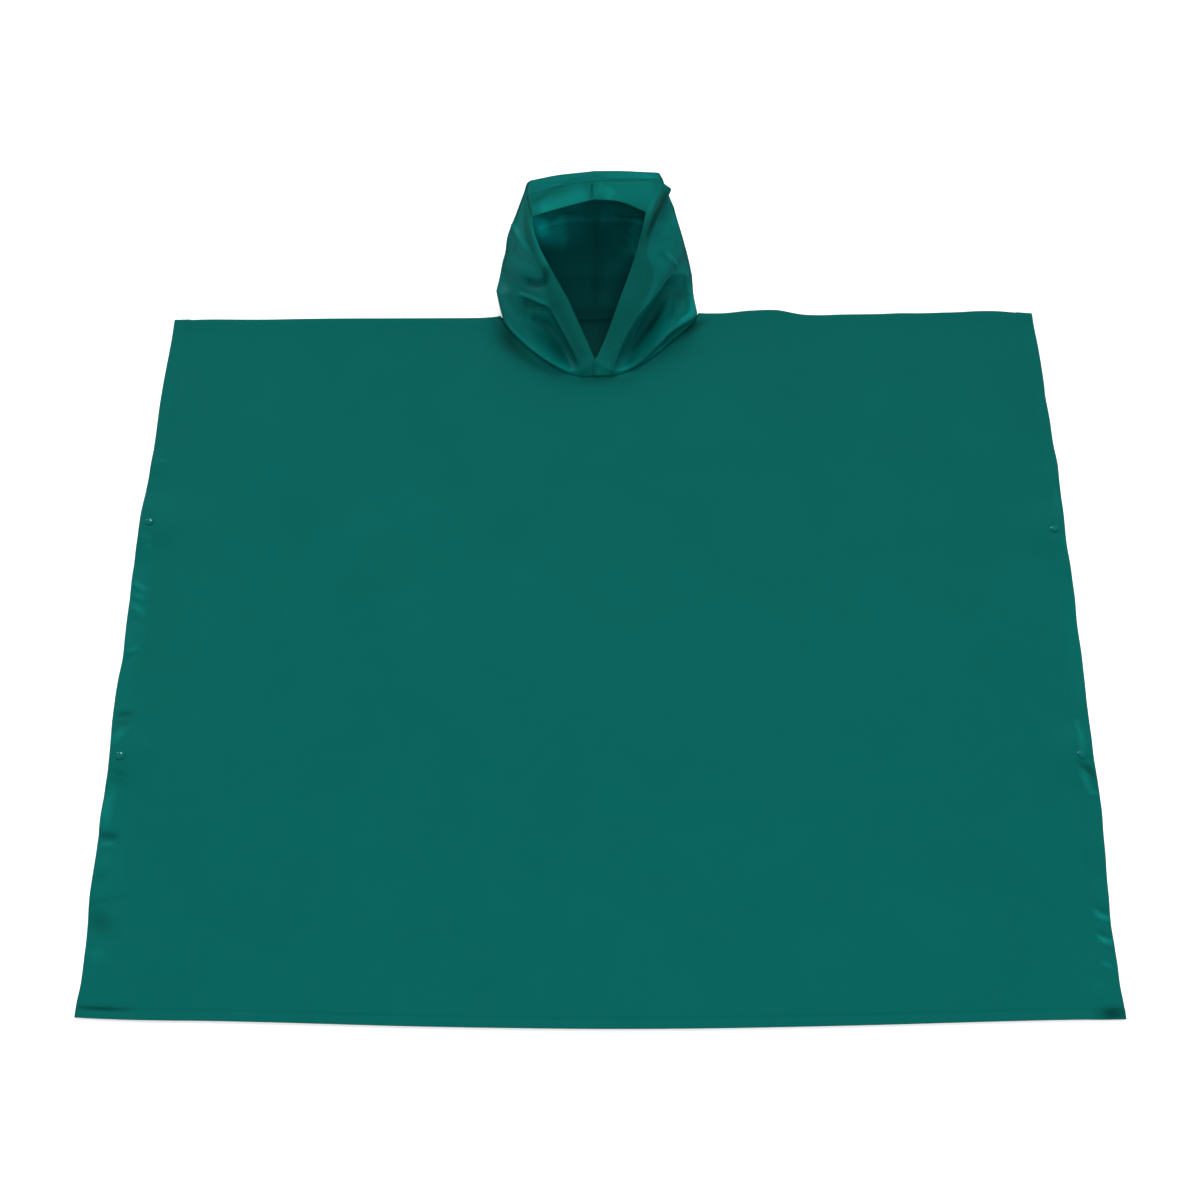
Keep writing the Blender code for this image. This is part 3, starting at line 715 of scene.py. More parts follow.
@dataclass(frozen=True)
class Lie:
    """How high the front film lies over the surface: loft, creases, puckers and studs."""

    cut: BodyCut
    film: float = 0.0005
    base: float = 0.0027
    loft: float = 0.0014
    loft_reach: float = 0.10
    neck_lift: float = 0.0050
    neck_reach: float = 0.045
    shoulder_blend: float = 0.035
    neck_clear: float = 0.02
    stud_height: float = 0.0072
    stud_seat: float = 0.0010
    stud_flat: float = 0.011
    stud_fall: float = 0.018
    stud_inset: float = 0.014
    studs: dict = field(default_factory=lambda: {
        "left_upper": (Side.LEFT, 0.168), "left_lower": (Side.LEFT, -0.1755),
        "right_upper": (Side.RIGHT, 0.151), "right_lower": (Side.RIGHT, -0.1755),
    })
    # Long soft creases: x and y of the start, middle and end, half width, rise
    creases: tuple = (
        (-0.452, 0.290, -0.330, 0.110, -0.225, -0.085, 0.030, 0.0022),
        (-0.190, -0.110, -0.160, -0.150, -0.135, -0.190, 0.024, 0.0014),
        (0.095, 0.270, 0.128, 0.288, 0.170, 0.290, 0.022, 0.0016),
        (0.330, 0.135, 0.366, 0.147, 0.400, 0.152, 0.020, 0.0014),
        (0.425, -0.300, 0.470, -0.308, 0.520, -0.322, 0.026, 0.0018),
        (0.370, -0.395, 0.418, -0.420, 0.460, -0.455, 0.024, 0.0016),
        (-0.190, -0.385, -0.160, -0.386, -0.130, -0.392, 0.024, 0.0012),
        (0.165, -0.350, 0.192, -0.348, 0.220, -0.350, 0.024, 0.0012),
    )
    # Puckers from the side edges: side, y at the edge, y inside, reach, half width, rise
    puckers: tuple = (
        (Side.LEFT, 0.262, 0.262, 0.030, 0.012, 0.0022),
        (Side.LEFT, 0.130, 0.118, 0.045, 0.014, 0.0030),
        (Side.LEFT, 0.078, 0.060, 0.055, 0.016, 0.0034),
        (Side.LEFT, -0.020, -0.012, 0.045, 0.012, 0.0022),
        (Side.LEFT, -0.138, -0.118, 0.075, 0.018, 0.0040),
        (Side.LEFT, -0.210, -0.226, 0.045, 0.014, 0.0030),
        (Side.LEFT, -0.256, -0.250, 0.045, 0.016, 0.0032),
        (Side.LEFT, -0.345, -0.350, 0.050, 0.020, 0.0026),
        (Side.RIGHT, 0.235, 0.215, 0.030, 0.016, 0.0022),
        (Side.RIGHT, 0.100, 0.112, 0.050, 0.016, 0.0034),
        (Side.RIGHT, -0.095, -0.110, 0.040, 0.020, 0.0024),
        (Side.RIGHT, -0.205, -0.170, 0.055, 0.016, 0.0040),
        (Side.RIGHT, -0.300, -0.296, 0.045, 0.016, 0.0028),
        (Side.RIGHT, -0.372, -0.352, 0.040, 0.014, 0.0034),
        (Side.RIGHT, -0.410, -0.402, 0.035, 0.012, 0.0030),
    )
    # Puckers and dips with painted highlights and shade, painted light and shade round the hood,
    # and paler edges
    marks: tuple = (
        # Pucker with painted highlight, left, high
        FilmMark(((-0.6318, 0.2683), (-0.6244, 0.2666), (-0.6156, 0.2650)), 2, 0.9, 0.28),
        # Pucker with painted highlight, left, by the upper stud
        FilmMark(((-0.6393, 0.1487), (-0.6305, 0.1456), (-0.6229, 0.1409)), 2.4, 0.8, 0.15),
        # Pucker with painted highlight, left, under the upper stud
        FilmMark(((-0.6279, 0.1362), (-0.6244, 0.1300), (-0.6222, 0.1238)), 2, 0.4, 0.18),
        # Folds with painted highlights, left
        FilmMark(((-0.6397, 0.0765), (-0.6304, 0.0689), (-0.6198, 0.0613)), 2.8, 1.8, 0.46),
        FilmMark(((-0.6387, 0.0583), (-0.6312, 0.0538), (-0.6213, 0.0508)), 2.4, 1.4, 0.36),
        FilmMark(((-0.6379, 0.0418), (-0.6289, 0.0358), (-0.6196, 0.0269)), 3.2, 1.6, 0.36),
        # Dip with painted shade, left
        FilmMark(((-0.6366, 0.0210), (-0.6282, 0.0195), (-0.6198, 0.0179)), 3, -0.8, -0.1),
        # Thin fold with painted highlight, left
        FilmMark(((-0.6370, -0.0275), (-0.6292, -0.0246), (-0.6200, -0.0232)), 1.7, 1, 0.36),
        # Dip with painted shade, left
        FilmMark(((-0.6373, -0.0348), (-0.6306, -0.0348), (-0.6240, -0.0334)), 2.4, -0.8, -0.1),
        # Deep dip with painted shade over the lower stud, left
        FilmMark(((-0.6381, -0.1189), (-0.6264, -0.1176), (-0.6159, -0.1162)), 3.4, -1.8, -0.32),
        # Dip with painted shade, left
        FilmMark(((-0.6377, -0.1315), (-0.6273, -0.1302), (-0.6183, -0.1288)), 2.8, -0.8, -0.16),
        # Facet with painted highlight, left
        FilmMark(((-0.6359, -0.1551), (-0.6302, -0.1482), (-0.6219, -0.1413)), 4, 2.2, 0.4),
        # Dips with painted shade, left
        FilmMark(((-0.6318, -0.1949), (-0.6236, -0.1976), (-0.6152, -0.2017)), 2.6, -1.2, -0.2),
        FilmMark(((-0.6316, -0.2057), (-0.6234, -0.2085), (-0.6151, -0.2125)), 2.2, -1, -0.14),
        # Facet with painted highlight, left
        FilmMark(((-0.6281, -0.2219), (-0.6313, -0.2460), (-0.6302, -0.2725)), 5, 2.2, 0.34),
        # Dip with painted shade, left
        FilmMark(((-0.6381, -0.2804), (-0.6262, -0.2830), (-0.6130, -0.2856)), 3.8, -2.2, -0.36),
        # Thin fold with painted highlight, left
        FilmMark(((-0.6348, -0.2948), (-0.6274, -0.2928), (-0.6186, -0.2922)), 1.9, 1, 0.32),
        # Dip with painted shade, left
        FilmMark(((-0.6352, -0.3374), (-0.6278, -0.3361), (-0.6189, -0.3361)), 4.5, -0.8, -0.14),
        # Shallow crease with a painted line of shade, left
        FilmMark(((-0.6371, -0.3692), (-0.6185, -0.3667), (-0.5962, -0.3641)), 2.6, -0.8, -0.15),
        # Hollow with painted shade, left
        FilmMark(((-0.6363, -0.3831), (-0.6197, -0.3943), (-0.6082, -0.4056)), 9, -1.2, -0.26),
        # Low mound with painted light, left
        FilmMark(((-0.6293, -0.4328), (-0.6202, -0.4352), (-0.6112, -0.4377)), 6, 0.8, 0.15),
        # Shallow dip with a painted line of shade over the hem, left
        FilmMark(((-0.6348, -0.4970), (-0.6077, -0.4982), (-0.5708, -0.4999)), 2.2, -0.4, -0.5),
        # Pucker with painted highlight, right, high
        FilmMark(((0.6346, 0.2147), (0.6359, 0.2021), (0.6354, 0.1864)), 2.2, 0.8, 0.22),
        # Raised edges with painted highlights, right
        FilmMark(((0.6368, 0.1398), (0.6384, 0.1306), (0.6396, 0.1183)), 2.4, 0.6, 0.2),
        FilmMark(((0.6434, -0.0155), (0.6425, -0.0442), (0.6412, -0.0755)), 2.4, 0.6, 0.18),
        # Facet with painted highlight, right
        FilmMark(((0.6226, -0.1313), (0.6256, -0.1492), (0.6254, -0.1711)), 3, 1.8, 0.34),
        # Wedge-shaped dip with painted shade, right
        FilmMark(((0.6196, -0.1873), (0.6277, -0.1940), (0.6375, -0.2075)), 3.4, -2.2, -0.42),
        # Facet with painted highlight, right
        FilmMark(((0.6206, -0.1994), (0.6242, -0.2115), (0.6287, -0.2261)), 3.4, 2, 0.38),
        # Thin fold with painted highlight, right
        FilmMark(((0.6275, -0.2261), (0.6337, -0.2268), (0.6387, -0.2275)), 1.9, 1, 0.4),
        # Dip with painted shade, right
        FilmMark(((0.6160, -0.3753), (0.6218, -0.3778), (0.6303, -0.3790)), 2.6, -1, -0.18),
        # Fold with painted highlight, right
        FilmMark(((0.6155, -0.3790), (0.6208, -0.3858), (0.6314, -0.3889)), 2.6, 2.2, 0.75),
        # Dip with painted shade, right
        FilmMark(((0.6136, -0.4037), (0.6192, -0.4074), (0.6287, -0.4099)), 2.8, -1, -0.18),
        # Fold with painted highlight, right
        FilmMark(((0.6152, -0.4099), (0.6218, -0.4160), (0.6312, -0.4185)), 2.4, 2.2, 0.8),
        # Thin fold with painted highlight, right
        FilmMark(((0.6146, -0.4428), (0.6205, -0.4440), (0.6273, -0.4476)), 1.9, 1.2, 0.4),
        # Low mound with painted light, right
        FilmMark(((0.6004, -0.4693), (0.6074, -0.4704), (0.6156, -0.4728)), 5, 0.6, 0.1),
        # Corner dip with painted shade, right
        FilmMark(((0.6068, -0.5037), (0.6201, -0.5025), (0.6346, -0.5013)), 5.5, -0.8, -0.6),
        # Shade beside the left roll
        FilmMark(((-0.1545, 0.4891), (-0.1391, 0.4679), (-0.1164, 0.4451)), 11, 0, -0.3),
        # Shade under the point of the face
        FilmMark(((-0.0644, 0.3999), (-0.0092, 0.3944), (0.0488, 0.3974)), 6, 0, -0.16),
        # Painted light along the foot of the left roll
        FilmMark(((-0.1243, 0.4660), (-0.1032, 0.4450), (-0.0809, 0.4266), (-0.0588, 0.4119),
                 (-0.0325, 0.4006)), 4.5, 0, 0.42),
        # Painted light along the foot of the right roll
        FilmMark(((0.0929, 0.4470), (0.0722, 0.4290), (0.0518, 0.4145), (0.0285, 0.4036)), 4, 0,
                 0.3),
        # Dip with painted shade beside the right roll
        FilmMark(((0.1554, 0.4973), (0.1435, 0.4912), (0.1286, 0.4817)), 5, -1, -0.42),
        # Paler left edge, high
        FilmMark(((-0.6355, 0.1085), (-0.6350, -0.0115), (-0.6372, -0.1063)), 16, 0, 0.1),
        # Paler left edge, low
        FilmMark(((-0.6299, -0.2085), (-0.6240, -0.3271), (-0.6174, -0.4462)), 15, 0, 0.08),
        # Paler right edge
        FilmMark(((0.6397, 0.1645), (0.6381, -0.0155), (0.6355, -0.1217)), 14, 0, 0.07),
        # Painted soft shade beside the right roll
        FilmMark(((0.0796, 0.4315), (0.1045, 0.4400), (0.1338, 0.4484)), 7, 0, -0.1),
    )

    @property
    def cap_low(self) -> float:
        """Height of the lower faces of the studs' caps."""
        return self.stud_height + self.stud_seat

    def stud_place(self, name: str) -> tuple[float, float]:
        """Plan point of a press stud."""
        side, y = self.studs[name]
        return side.value * (float(self.cut.side_edge(side, y)) - self.stud_inset), y

    def cushion(self, x: Array, y: Array) -> Array:
        """One at and close round a press stud, falling to nothing away from it.

        Args:
            x: The x of the points.
            y: The y of the points.

        Returns:
            The share at each point.
        """
        places = [self.stud_place(name) for name in self.studs]
        gaps = [np.hypot(x - px, y - py) for px, py in places]
        return bell(np.maximum(np.minimum.reduce(gaps) - self.stud_flat, 0.0), self.stud_fall)

    def crease_height(self, x: Array, y: Array) -> Array:
        """Height of the long soft creases.

        Args:
            x: The x of the points.
            y: The y of the points.

        Returns:
            The height at each point.
        """
        points = np.stack([x, y], axis=-1)
        height = np.zeros_like(x)
        for x0, y0, x1, y1, x2, y2, half_width, rise in self.creases:
            path = smooth_through([(x0, y0), (x1, y1), (x2, y2)], (6, 6))
            gap, along = distance_to_path(points, path)
            taper = 0.35 + 0.65 * np.sin(math.pi * along)
            height += rise * bell(gap, half_width) * taper
        return height

    def pucker_height(self, x: Array, y: Array) -> Array:
        """Height of the puckers that run in from the side edges.

        Args:
            x: The x of the points.
            y: The y of the points.

        Returns:
            The height at each point.
        """
        height = np.zeros_like(x)
        for side, y_edge, y_inner, reach, half_width, rise in self.puckers:
            inset = np.maximum(self.cut.side_edge(side, y) - side.value * x, 0.0)
            off = y - (y_edge + (y_inner - y_edge) * inset / reach)
            height += rise * fade(inset, reach) * bell(off, half_width)
        return height

    def painted_light(self, points: Array) -> Array:
        """How much paler or darker the upper face is: painted highlights and shade, and paler
        edges.
        """
        x, y = points[:, 0], points[:, 1]
        return sum(mark.tone * mark.share(x, y) for mark in self.marks)

    def top(self, x: Array, y: Array) -> Array:
        """Height of the front film's upper face.

        Args:
            x: The x of the points.
            y: The y of the points.

        Returns:
            The height at each point.
        """
        cut = self.cut
        inset = np.minimum(cut.side_edge(Side.LEFT, y) + x, cut.side_edge(Side.RIGHT, y) - x)
        height = self.base + self.loft * np.clip(inset / self.loft_reach, 0.0, 1.0)
        height += self.crease_height(x, y) + self.pucker_height(x, y)
        height += sum(mark.rise * MM * mark.share(x, y) for mark in self.marks if mark.rise)
        from_neck = cut.neck_distance(x, y)
        height += self.neck_lift * fade(from_neck, self.neck_reach)
        below = np.maximum(cut.shoulder_edge(x) - cut.roll - y, 0.0)
        shoulder = fade(below, self.shoulder_blend) * (1.0 - fade(from_neck, self.neck_clear))
        height += (cut.roll - height) * shoulder
        return height + (self.stud_height - height) * self.cushion(x, y)


@dataclass
class BodyFilm:
    """Front film, rolled over the shoulder line, and the back film under it."""

    cut: BodyCut
    lie: Lie
    hem_width: float = 0.012
    side_hem_width: float = 0.024
    step: float = 0.0062
    back_step: float = 0.016
    roll_steps: int = 9
    neck_steps: int = 5
    back_neck_columns: int = 10
    hem_blend: float = 0.15
    neck_blend: float = 0.33
    back_lift: float = 0.0014
    back_lift_flat: float = 0.007
    back_lift_fall: float = 0.0078
    hood_shade: float = -0.43
    hood_shade_width: float = 0.12
    hood_shade_drop: float = 0.04

    def rows(self, top: float, step: float) -> Array:
        """The y of the rows of a panel."""
        fine = [0.0, 0.003, 0.006, 0.009, self.hem_width, 0.015]
        return stations([self.cut.hem_y + f for f in fine] + [top], step)

    def insets(self, side: Side, corner_x: float, step: float) -> Array:
        """Insets of the columns from a side edge to the neck's corner.

        Args:
            side: The edge's side.
            corner_x: The x of the neck's corner.
            step: Longest step between columns.

        Returns:
            The insets.
        """
        near = [0.0, 0.003, 0.007, 0.011, 0.014, 0.017, 0.021, self.side_hem_width, 0.028,
                0.032, 0.036, 0.040, 0.045, 0.050, 0.056]
        return stations(near + [self.cut.width / 2 - side.value * corner_x], step)

    def grid(self, top_base: float, step: float, neck_tops: dict,
             top_edge: Callable[[Array], Array]) -> Array:
        """Plan points of a panel.

        Args:
            top_base: The y that the top row has before it is bent to its edge.
            step: Longest step between rows and columns.
            neck_tops: Points of the neck edge a side, from the corner to near the centre.
            top_edge: Function that gives the top row's y at x beside the neck.

        Returns:
            Plan points, rows from the hem up and columns from left to right.
        """
        ys = self.rows(top_base, step)
        up = ((ys - ys[0]) / (ys[-1] - ys[0]))[:, None]
        halves = {}
        for side in Side:
            tops = neck_tops[side]
            insets = self.insets(side, tops[0][0], step)[None, :]
            edge = self.cut.side_edge(side, ys)[:, None]
            x_body = side.value * (edge - insets)
            tops_body = top_edge(x_body[-1])
            count = len(tops)
            share = 1.0 - np.arange(1, count) / count
            bottom = self.cut.seam_x + (tops[0][0] - self.cut.seam_x) * share
            x_neck = bottom[None, :] + (tops[1:, 0] - bottom)[None, :] * up ** 3
            x = np.concatenate([x_body, x_neck], axis=1)
            top_y = np.concatenate([tops_body, tops[1:, 1]])
            halves[side] = (x, top_y)
        centre_x = np.full((len(ys), 1), self.cut.seam_x)
        centre_y = [neck_tops["centre"]]
        x = np.concatenate(
            [halves[Side.LEFT][0], centre_x, halves[Side.RIGHT][0][:, ::-1]], axis=1
        )
        top_y = np.concatenate([halves[Side.LEFT][1], centre_y, halves[Side.RIGHT][1][::-1]])
        hem_share = np.maximum(1.0 - (ys - self.cut.hem_y) / self.hem_blend, 0.0)[:, None]
        top_share = np.maximum(1.0 - (top_base - ys) / self.neck_blend, 0.0)[:, None]
        y = ys[:, None] + (self.cut.hem_edge(x) - self.cut.hem_y) * hem_share
        y = y + (top_y - top_base)[None, :] * top_share
        return np.stack([x, y], axis=-1)

    def front_plan(self) -> tuple[Array, int, int]:
        """Lay out the front film.

        Returns:
            Its plan, and its counts of columns left and right of the neck.
        """
        tops: dict = {}
        top_base = self.cut.shoulder_y - self.cut.roll
        for side in Side:
            curve = self.cut.neck_curve(side, self.neck_steps)
            curve = curve[: self.neck_steps * self.cut.shoulder_knot + 1][::-1]
            curve[0, 1] = top_base
            # The point next to the corner would make a sliver of a column
            tops[side] = np.delete(curve[:-1], 1, axis=0)
        tops["centre"] = self.cut.neck_points[Side.LEFT][0][1] * MM + self.cut.shoulder_y
        plan = self.grid(top_base, self.step, tops,
                         lambda x: self.cut.shoulder_edge(x) - self.cut.roll)
        counts = [len(self.insets(s, tops[s][0][0], self.step)) for s in Side]
        return plan, counts[0], counts[1]

    def roll_over(self, edge: Array) -> Array:
        """Rings of an edge rolled over the shoulder line down to the surface.

        Args:
            edge: Points of the edge.

        Returns:
            Points of the rings.
        """
        turns = 0.5 * math.pi * np.arange(1, self.roll_steps + 1) / self.roll_steps
        rings = []
        for turn in turns:
            ring = edge.copy()
            ring[:, 1] += self.cut.roll * math.sin(turn)
            ring[:, 2] = self.lie.film + (edge[:, 2] - self.lie.film) * math.cos(turn)
            rings.append(ring)
        return np.array(rings)

    def build_front(self, outer: Material, inner: Material) -> Piece:
        """Make the front film.

        Args:
            outer: Finish of its outer face.
            inner: Finish of its inner face.

        Returns:
            The piece.
        """
        plan, left_count, right_count = self.front_plan()
        height = self.lie.top(plan[..., 0], plan[..., 1])
        surface = np.concatenate([plan, height[..., None]], axis=-1)
        rows, columns = surface.shape[:2]
        points = [surface.reshape(-1, 3)]
        faces = grid_faces(rows, columns)
        total = rows * columns
        for first, last in ((0, left_count), (columns - right_count, columns)):
            rings = self.roll_over(surface[-1, first:last])
            below = [(rows - 1) * columns + c for c in range(first, last)]
            for ring in rings:
                above = list(range(total, total + len(ring)))
                total += len(ring)
                points.append(ring)
                for i in range(len(ring) - 1):
                    faces.append((below[i], below[i + 1], above[i + 1], above[i]))
                below = above
        piece = new_object("front_film", np.concatenate(points), faces, (outer, inner))
        give_wall(piece, self.lie.film)
        bake_modifiers(piece)
        # Painted highlights and shade of the puckers, dips and the film round the hood
        store_painted_light(piece, "tone", self.lie.painted_light(mesh_points(piece)))
        return settle(piece, ["front_panel"])

    def build_back(self, outer: Material, inner: Material) -> Piece:
        """Make the back film, flat on the surface but for room under the press studs.

        Args:
            outer: Finish of its lower face, which is outside when worn.
            inner: Finish of its upper face.

        Returns:
            The piece.
        """
        top = self.cut.shoulder_y - self.lie.film
        tops: dict = {"centre": top}
        for side in Side:
            corner = self.cut.neck_knots(side)[self.cut.shoulder_knot][0]
            share = np.linspace(1.0, 0.0, self.back_neck_columns)[:-1]
            x = self.cut.seam_x + (corner - self.cut.seam_x) * share
            tops[side] = np.stack([x, np.full_like(x, top)], axis=-1)
        drop = self.cut.shoulder_y - top
        plan = self.grid(top, self.back_step, tops, lambda x: self.cut.shoulder_edge(x) - drop)
        x, y = plan[..., 0], plan[..., 1]
        places = [self.lie.stud_place(name) for name in self.lie.studs]
        gaps = np.minimum.reduce([np.hypot(x - px, y - py) for px, py in places])
        beyond = np.maximum(gaps - self.back_lift_flat, 0.0)
        height = self.back_lift * bell(beyond, self.back_lift_fall)
        surface = np.concatenate([plan, height[..., None]], axis=-1)
        rows, columns = surface.shape[:2]
        faces = grid_faces(rows, columns, flip=True)
        piece = new_object("back_film", surface.reshape(-1, 3), faces, (outer, inner))
        give_wall(piece, self.lie.film)
        bake_modifiers(piece)
        # Painted shade on the upper face round the back of the neck, under the hood
        points = mesh_points(piece)
        gap = np.hypot(points[:, 0] - self.cut.seam_x,
                       points[:, 1] - self.cut.shoulder_y + self.hood_shade_drop)
        store_painted_light(piece, "painted_inner_light", self.hood_shade * bell(gap, self.hood_shade_width))
        return settle(piece, ["back_panel"])


@dataclass(frozen=True)
class HemSection:
    """Cross-section of a turned and welded hem: inset from the edge and lift, in mm."""

    width: float
    weld_inset: float = 3.6
    weld_width: float = 2.0
    film: float = 0.5
    turn: float = 0.35
    steps: int = 2
    weld_depth: float = 0.30
    outer_slope: float = 0.1

    def ring(self) -> Array:
        """Closed ring of the section's points, anticlockwise from the lower lip.

        Returns:
            The points, in millimetres.
        """
        top = 2.0 * self.film * 0.8
        under = -self.film - 0.08
        low = -self.film - 0.38
        weld_out = self.width - self.weld_inset
        weld_in = weld_out + self.weld_width
        between = np.arange(1, self.steps + 1) / (self.steps + 1)
        across = 1.0 + (weld_out - 1.8) * between
        return np.array([
            (4.0, low), (1.2, low), (0.0, low + 0.12), (-self.turn, -0.30),
            (-self.turn - 0.05, 0.15), (-0.05, top - 0.08), (1.0, top + 0.05),
            *((inset, top) for inset in across), (weld_out - 0.8, top),
            (weld_out, top - self.weld_depth), (weld_in, top - self.weld_depth),
            (self.width + 0.3 - self.outer_slope, top - 0.05),
            (self.width - 0.1, 0.03 + (top - 0.11) * (self.outer_slope < 1.0)),
            (self.width, 0.50 if self.outer_slope < 1.0 else -0.12),
            (self.width, 0.06 if self.outer_slope < 1.0 else -0.16),
            *((inset, 0.06) for inset in across[::-1]), (1.0, 0.06), (0.25, 0.0),
            (0.15, -0.3), (0.4, under), (4.0, under),
        ])


@dataclass
class BodyHems:
    """Turned hems along the bottom and the side edges of the front film."""

    body: BodyFilm
    step: float = 0.0032
    corner_gap: float = 0.0003
    merge: float = 0.00001
    sharp_angle: float = 35.0

    def strip(self, inward: Array, up: Array, section: HemSection, surface: Array) -> Array:
        """Rings of a hem along an edge.

        Args:
            inward: Unit vectors from the edge into the panel.
            up: Unit normals of the panel.
            section: The hem's cross-section.
            surface: For each ring point, the panel's point under it.

        Returns:
            Points of the rings, shape (rings, points a ring, 3).
        """
        ring = section.ring() * MM
        beyond = np.minimum(ring[:, 0], 0.0)[None, :, None] * inward[:, None, :]
        return surface + beyond + ring[None, :, 1, None] * up[:, None, :]

    def side_rings(self, side: Side, section: HemSection) -> Array:
        """Rings of a side hem, from the bottom hem up and over the shoulder.

        Args:
            side: The hem's side.
            section: Its cross-section.

        Returns:
            Points of the rings, shape (rings, points a ring, 3).
        """
        cut, lie = self.body.cut, self.body.lie
        ys = stations([cut.hem_y + self.body.hem_width + self.corner_gap,
                       cut.shoulder_y - cut.roll], self.step)
        ring = section.ring() * MM
        inset = np.maximum(ring[:, 0], 0.0)[None, :]
        y = np.repeat(ys[:, None], len(ring), axis=1)
        x = side.value * (cut.side_edge(side, y) - inset)
        hem_share = np.maximum(1.0 - (y - cut.hem_y) / self.body.hem_blend, 0.0)
        y = y + (cut.hem_edge(x) - cut.hem_y) * hem_share
        top_share = np.maximum(1.0 - (cut.shoulder_y - cut.roll - y) / self.body.neck_blend, 0.0)
        y = y + (cut.shoulder_edge(x) - cut.shoulder_y) * top_share
        base = np.stack([x, y, lie.top(x, y)], axis=-1)
        over = self.body.roll_over(base[-1])
        base = np.concatenate([base, over])
        up = np.zeros((len(base), 3))
        along = np.gradient(base[:, 0], axis=0)
        up[:, 1], up[:, 2] = -along[:, 2], along[:, 1]
        up /= np.linalg.norm(up, axis=1, keepdims=True)
        inward = np.tile((-float(side.value), 0.0, 0.0), (len(base), 1))
        return self.strip(inward, up, section, base)

    def bottom_rings(self, section: HemSection) -> Array:
        """Rings of the bottom hem, from left to right.

        Args:
            section: Its cross-section.

        Returns:
            Points of the rings, shape (rings, points a ring, 3).
        """
        cut, lie = self.body.cut, self.body.lie
        reach = float(cut.side_edge(Side.LEFT, cut.hem_y))
        xs = stations([-reach, reach], self.step)
        ring = section.ring() * MM
        inset = np.maximum(ring[:, 0], 0.0)[None, :]
        x = np.repeat(xs[:, None], len(ring), axis=1)
        y = cut.hem_edge(x) + inset
        base = np.stack([x, y, lie.top(x, y)], axis=-1)
        along = np.gradient(base[:, 0], axis=0)
        up = np.stack([-along[:, 2], np.zeros(len(base)), along[:, 0]], axis=-1)
        up /= np.linalg.norm(up, axis=1, keepdims=True)
        inward = np.tile((0.0, 1.0, 0.0), (len(base), 1))
        return self.strip(inward, up, section, base)

    def build(self, finish: Material) -> list[Piece]:
        """Make the three hems and the ribs of their welds.

        Args:
            finish: Their finish.

        Returns:
            The bottom hem and the side hems, each with its ribs after it.
        """
        pieces = []
        side_section = HemSection(width=1000 * self.body.side_hem_width, weld_inset=6.6,
                                  weld_depth=0.06, outer_slope=4.0, steps=6)
        bottom_section = HemSection(width=1000 * self.body.hem_width, weld_depth=0.15, steps=3)
        jobs = [("bottom_hem", self.bottom_rings(bottom_section), "hem_bottom",
                 bottom_section)]
        for side in Side:
            word = side.name.lower()
            rings = self.side_rings(side, side_section)
            jobs.append((f"side_hem_{word}", rings, f"hem_side_{word}", side_section))
        for name, rings, node, section in jobs:
            faces = ring_faces(rings.shape[0], rings.shape[1])
            piece = new_object(name, rings.reshape(-1, 3), faces, (finish,))
            mend(piece, self.merge)
            piece.data.set_sharp_from_angle(angle=math.radians(self.sharp_angle))
            # The film's painted highlights and shade carry on over the hem and its ribs
            store_painted_light(piece, "tone", self.body.lie.painted_light(mesh_points(piece)))
            pieces.append(settle(piece, [node]))
            ribs = WeldRibs().build(f"weld_{name}", *weld_line(rings, section), finish)
            store_painted_light(ribs, "tone", self.body.lie.painted_light(mesh_points(ribs)))
            pieces.append(ribs)
        return pieces


# The hood

# Section along the centre seam, where both halves end, and the path of the seam's groove
SEAM_SECTION = ((-7, 97, 152), (-7, 110, 157), (-7, 123, 162), (-7, 136, 164), (-7, 153, 142),
                (-7, 168.5, 99), (-7, 180, 50), (-7, 182, 14), (-7, 179, 0))
SEAM_MARK_PATH = ((-7, 156, 135.8), (-7, 168.5, 99), (-7, 180, 50), (-7, 182, 14))


